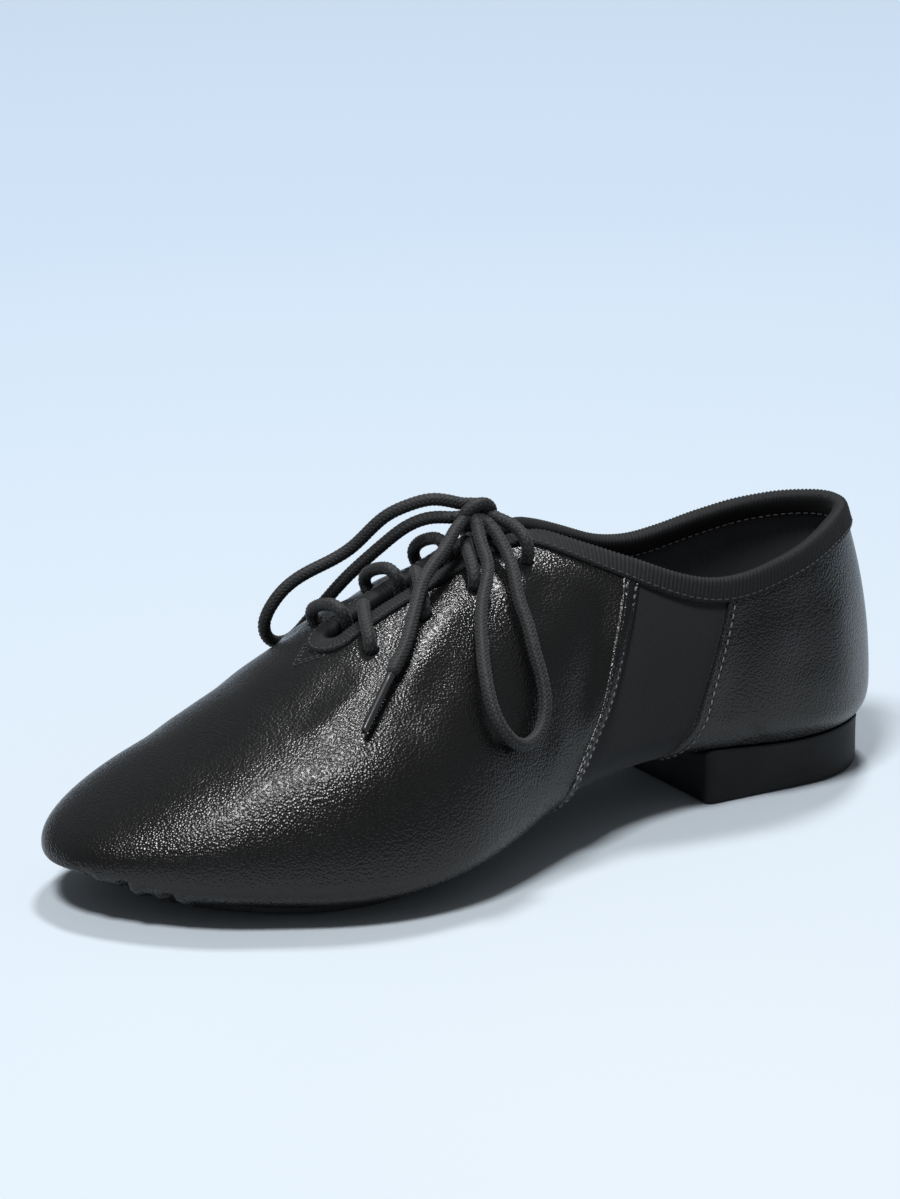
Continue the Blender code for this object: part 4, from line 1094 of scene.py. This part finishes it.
# A line over the vamp from corner to corner, each a place along the shoe and a distance aside
def throatLine(corners, lift):
    points, normals = [], []
    for (x0, a0), (x1, a1) in zip(corners[:-1], corners[1:]):
        for t in np.linspace(0, 1, 20, endpoint=False):
            x, aside = x0 + (x1 - x0) * t, a0 + (a1 - a0) * t
            turn = turnAside(x, aside + 1e-9)
            points.append(surface(x, turn) + outward(x, turn) * lift - middle)
            normals.append(outward(x, turn))
    return np.array(points), np.array(normals)


# Each row: the height of its line over the leather, then the stitches' pitch, length and thickness
sewing = {
    "front": (0.00026, (0.0023, 0.0014, 0.00060)),
    "rear": (-0.00006, (0.0024, 0.0016, 0.00048)),
    "tack": (0.00002, (0.0016, 0.0011, 0.00042)),
    "binding": ((0.00104, 0.00318), (0.0021, 0.0015, 0.00042)),
    "tacks": ((0.0746, 0.0678, 0.0052), (0.0738, 0.0694, 0.0036)),      # rear, front and half width
}


def makeStitches():
    lift, sizes = sewing["front"]
    rows = [(*seamLine(frontSeam - back, lift), *sizes) for back in seamSizes["frontRows"]]
    lift, sizes = sewing["rear"]
    rows.append((*seamLine(rearSeam + seamSizes["rearRow"], lift), *sizes))
    addStitchPiece("shoe_seam_stitches", rows, thread)
    lift, sizes = sewing["tack"]
    rows = []
    for rear, front, wide in sewing["tacks"]:
        corners = ((rear, -wide), (rear, wide), (front, 0.0008), (rear, -wide))
        rows.append((*throatLine(corners, lift), *sizes))
    addStitchPiece("shoe_bar_tack", rows, darkThread)
    (outside, inside), sizes = sewing["binding"]
    points, normals, _ = edgePlaces([0.0, 0.4, 0.86, 1.0])
    line, faced = points[2], normals[2]
    rows = [(line + faced * outside - middle, faced, *sizes),
            (line - faced * inside - middle, -faced, *sizes)]
    addStitchPiece("shoe_binding_stitches", rows, darkThread)


makeStitches()
print("stitches are sewn")


# A plate over an outline as rings round its middle, for the sole and the heel block
def makePlate(name, outline, shares, layers, finish, node, sharp=35):
    centre = outline.mean(axis=0)
    count = len(outline)
    spots, rings = [], []

    def ring(share, height, inset=0.0):
        reach = np.linalg.norm(outline - centre, axis=1)
        xy = centre + (outline - centre) * (share * (1 - inset / reach))[:, None]
        rings.append(len(spots))
        spots.extend((x, y, float(z)) for (x, y), z in zip(xy, height(xy[:, 0], xy[:, 1])))

    top, bottom, edge = layers
    for share in shares:
        ring(np.full(count, share), top)
    for inset, height in edge:
        ring(np.ones(count), height, inset)
    for share in shares[::-1]:
        ring(np.full(count, share), bottom, edge[-1][0])
    faces = []
    for a, b in zip(rings[:-1], rings[1:]):
        faces.extend([a + i, a + (i + 1) % count, b + (i + 1) % count, b + i] for i in range(count))
    for start, height in ((rings[0], top), (rings[-1], bottom)):
        spots.append((centre[0], centre[1], float(height(centre[0], centre[1]))))
        faces.extend([start + i, start + (i + 1) % count, len(spots) - 1] for i in range(count))
    made = makePiece(name, np.array(spots) - middle, faces, [finish], sharp=sharp)
    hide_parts(node)


def outlineLoop(start, end, halfWidth, count, cornerStep=0.0015):
    steps = (1 - np.cos(np.linspace(0, math.pi, count))) / 2
    xs = start + (end - start) * steps
    centre = section(xs)["centre"]
    half = np.array([halfWidth(x) for x in xs])
    near = np.stack([xs, centre - half], 1)[::-1]
    far = np.stack([xs, centre + half], 1)
    wide = far[0, 1] - near[-1, 1]
    across = []
    if wide > 0.002:
        across = np.linspace(near[-1, 1], far[0, 1], max(2, round(wide / cornerStep)))[1:-1]
    loop = []
    for point in [*far, *near, *[(start, y) for y in across]]:
        if not loop or math.dist(point, loop[-1]) > 2e-5:
            loop.append(point)
    if math.dist(loop[0], loop[-1]) < 2e-5:
        loop.pop()
    return np.array(loop)


soleSizes = {"front": 0.022, "rear": 0.142, "half": 0.0315, "roundFront": 0.028, "roundRear": 0.024}
heelSizes = {"front": 0.184, "back": 0.2447, "half": 0.0238, "round": 0.030, "bevel": 0.0010}


def soleHalf(x):
    s = soleSizes
    share = (x - s["front"]) / (s["rear"] - s["front"])
    half = s["half"] * smooth(share, soleOutline["at"], soleOutline["half"])
    half = half * rounded(x - s["front"], s["roundFront"], 2.0)
    return float(half * rounded(s["rear"] - x, s["roundRear"], 2.0))


def heelHalf(x):
    s = heelSizes
    corner = 0.93 + 0.07 * rounded(x - s["front"], 0.003, 2.0)
    return float(s["half"] * corner * rounded(s["back"] - x, s["round"], 2.3))


def makeSoles():
    def under(drop):
        return lambda x, y: underside(x, y) - clearance - drop

    def foot(x, y):
        return np.maximum(0.0, underside(x, y) - clearance - soleThickness)

    def footEdge(x, y):
        return np.maximum(0.0003, underside(x, y) - clearance - soleThickness + 0.0003)

    shares = (0.15, 0.3, 0.45, 0.6, 0.72, 0.84, 0.93)
    edge = ((0.0004, under(0.0)), (0.0, under(0.0004)), (0.0, footEdge), (0.0005, foot))
    makePlate("shoe_forefoot_sole", outlineLoop(soleSizes["front"], soleSizes["rear"], soleHalf, 90), shares,
              (under(0.0), foot, edge), soleHide, "forefoot_sole")
    bevel = heelSizes["bevel"]

    def level(z):
        return lambda x, y: np.zeros_like(np.asarray(x, float)) + z

    edge = ((0.0003, under(0.0)), (0.0, under(0.0003)), (-0.0002, under(0.0009)), (0.0, under(0.0016)),
            (0.0, level(0.004)), (0.0, level(bevel + 0.0002)), (bevel * 0.3, level(bevel * 0.35)),
            (bevel, level(0.0)))
    makePlate("shoe_heel_block", outlineLoop(heelSizes["front"], heelSizes["back"], heelHalf, 70), shares,
              (under(0.0), level(0.0), edge), rubber, "heel_block")


makeSoles()


insoleSizes = {
    "setback": 0.0065, "turn": 44, "round": 0.024, "blunt": 0.0012, "edge": 0.0004, "thick": 0.0011,
}


def makeInsole():
    s = insoleSizes
    rows, count = 120, 41
    start, end = s["setback"], shoeLength - s["setback"]
    even = np.linspace(0, 1, rows)
    xs = start + (end - start) * (even + (1 - np.cos(even * math.pi)) / 2) / 2
    spreadTurn = math.radians(s["turn"]) * rounded(xs - start + s["blunt"], s["round"], 2.0)
    spreadTurn = spreadTurn * rounded(end - xs + s["blunt"], s["round"], 2.0)
    turns = spreadTurn[:, None] * np.linspace(-1, 1, count)[None, :]
    x = np.broadcast_to(xs[:, None], turns.shape)
    base, normal = surface(x, turns), outward(x, turns)
    rim = 1 - np.abs(np.linspace(-1, 1, count)) ** 14
    depth = (wall + clearance + s["edge"] + s["thick"] * rim[None, :])[..., None]
    grid = base - normal * depth
    low = base - normal * (wall + clearance)
    spots = np.concatenate([grid.reshape(-1, 3), low.reshape(-1, 3)]) - middle
    uv = np.stack([x, base[..., 1]], -1).reshape(-1, 2)
    under = rows * count
    faces = [list(f) for start in (0, under) for f in gridFaces(rows, count, start=start)]
    ring = ([*range(count)] + [j * count + count - 1 for j in range(1, rows)]
            + [under - count + k for k in range(count - 2, -1, -1)]
            + [j * count for j in range(rows - 2, 0, -1)])
    for a, b in zip(ring, ring[1:] + ring[:1]):
        faces.append([a, b, b + under, a + under])
    made = makePiece("shoe_insole", spots, faces, [insoleCloth], np.concatenate([uv, uv]),
                     sharp=50)
    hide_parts("insole")


makeInsole()
print("soles and insole are in")

# A pale floor with a painted pool of light, one soft light from above the toe and one from behind, and a dim
# pale sky
studio = {
    "floor": (0.369, 0.434, 0.502), "floorInPaintedLight": (0.453, 0.482, 0.498), "floorReach": 6.0, "under": 0.0002,
    "paintedLightPool": {"Scale": (1.1, 1.1, 1.1), "Location": (0.05, 0.22, 0)},      # painted pool of light: where the floor is drawn lighter
    "sky": (0.88, 0.94, 1.0), "skyPower": 0.22, "lightColour": (0.93, 0.96, 1.0),
}
# Place, point aimed at, size and watts
lights = {
    "top soft light": ((-1.40, -0.75, 3.60), (-0.02, 0, 0.03), (0.90, 0.75), 175),
    "back soft light": ((1.10, 1.10, 3.50), (0, 0, 0.03), (0.62, 0.55), 116),
}


def makeFloor():
    mesh = bpy.data.meshes.new("floor")
    reach, z = studio["floorReach"], -studio["under"]
    mesh.from_pydata([(-reach, -reach, z), (reach, -reach, z), (reach, reach, z), (-reach, reach, z)],
                     [], [(0, 1, 2, 3)])
    floor = bpy.data.objects.new("floor", mesh)
    bpy.context.scene.collection.objects.link(floor)
    made, nodes, links, shader = makeMaterial("pale floor", studio["floor"], 0.75)
    place = nodes.new("ShaderNodeTexCoord").outputs["Object"]
    # painted pool of light: the floor's colour is lighter round one spot
    soft = addNode(nodes, "ShaderNodeTexGradient", gradient_type="SPHERICAL")
    turn = addNode(nodes, "ShaderNodeMapping")
    for key, value in studio["paintedLightPool"].items():
        turn.inputs[key].default_value = value
    links.new(place, turn.inputs["Vector"])
    links.new(turn.outputs["Vector"], soft.inputs["Vector"])
    links.new(tone(nodes, links, soft.outputs["Fac"], studio["floor"], studio["floorInPaintedLight"]),
              shader.inputs["Base Color"])
    shader.inputs["Specular IOR Level"].default_value = 0.1
    mesh.materials.append(made)


def makeLight(name, place, aim, size, power):
    data = bpy.data.lights.new(name, "AREA")
    data.shape = "RECTANGLE"
    data.size, data.size_y = size
    data.energy = power
    data.color = studio["lightColour"]
    light = bpy.data.objects.new(name, data)
    light.location = place
    light.rotation_euler = (Vector(aim) - Vector(place)).to_track_quat("-Z", "Y").to_euler()
    bpy.context.scene.collection.objects.link(light)


makeFloor()
for name, values in lights.items():
    makeLight(name, *values)
world = bpy.data.worlds.new("pale studio")
world.use_nodes = True
world.node_tree.nodes["Background"].inputs["Color"].default_value = (*studio["sky"], 1)
world.node_tree.nodes["Background"].inputs["Strength"].default_value = studio["skyPower"]
bpy.context.scene.world = world
print("studio is lit")

bpy.context.view_layer.update()
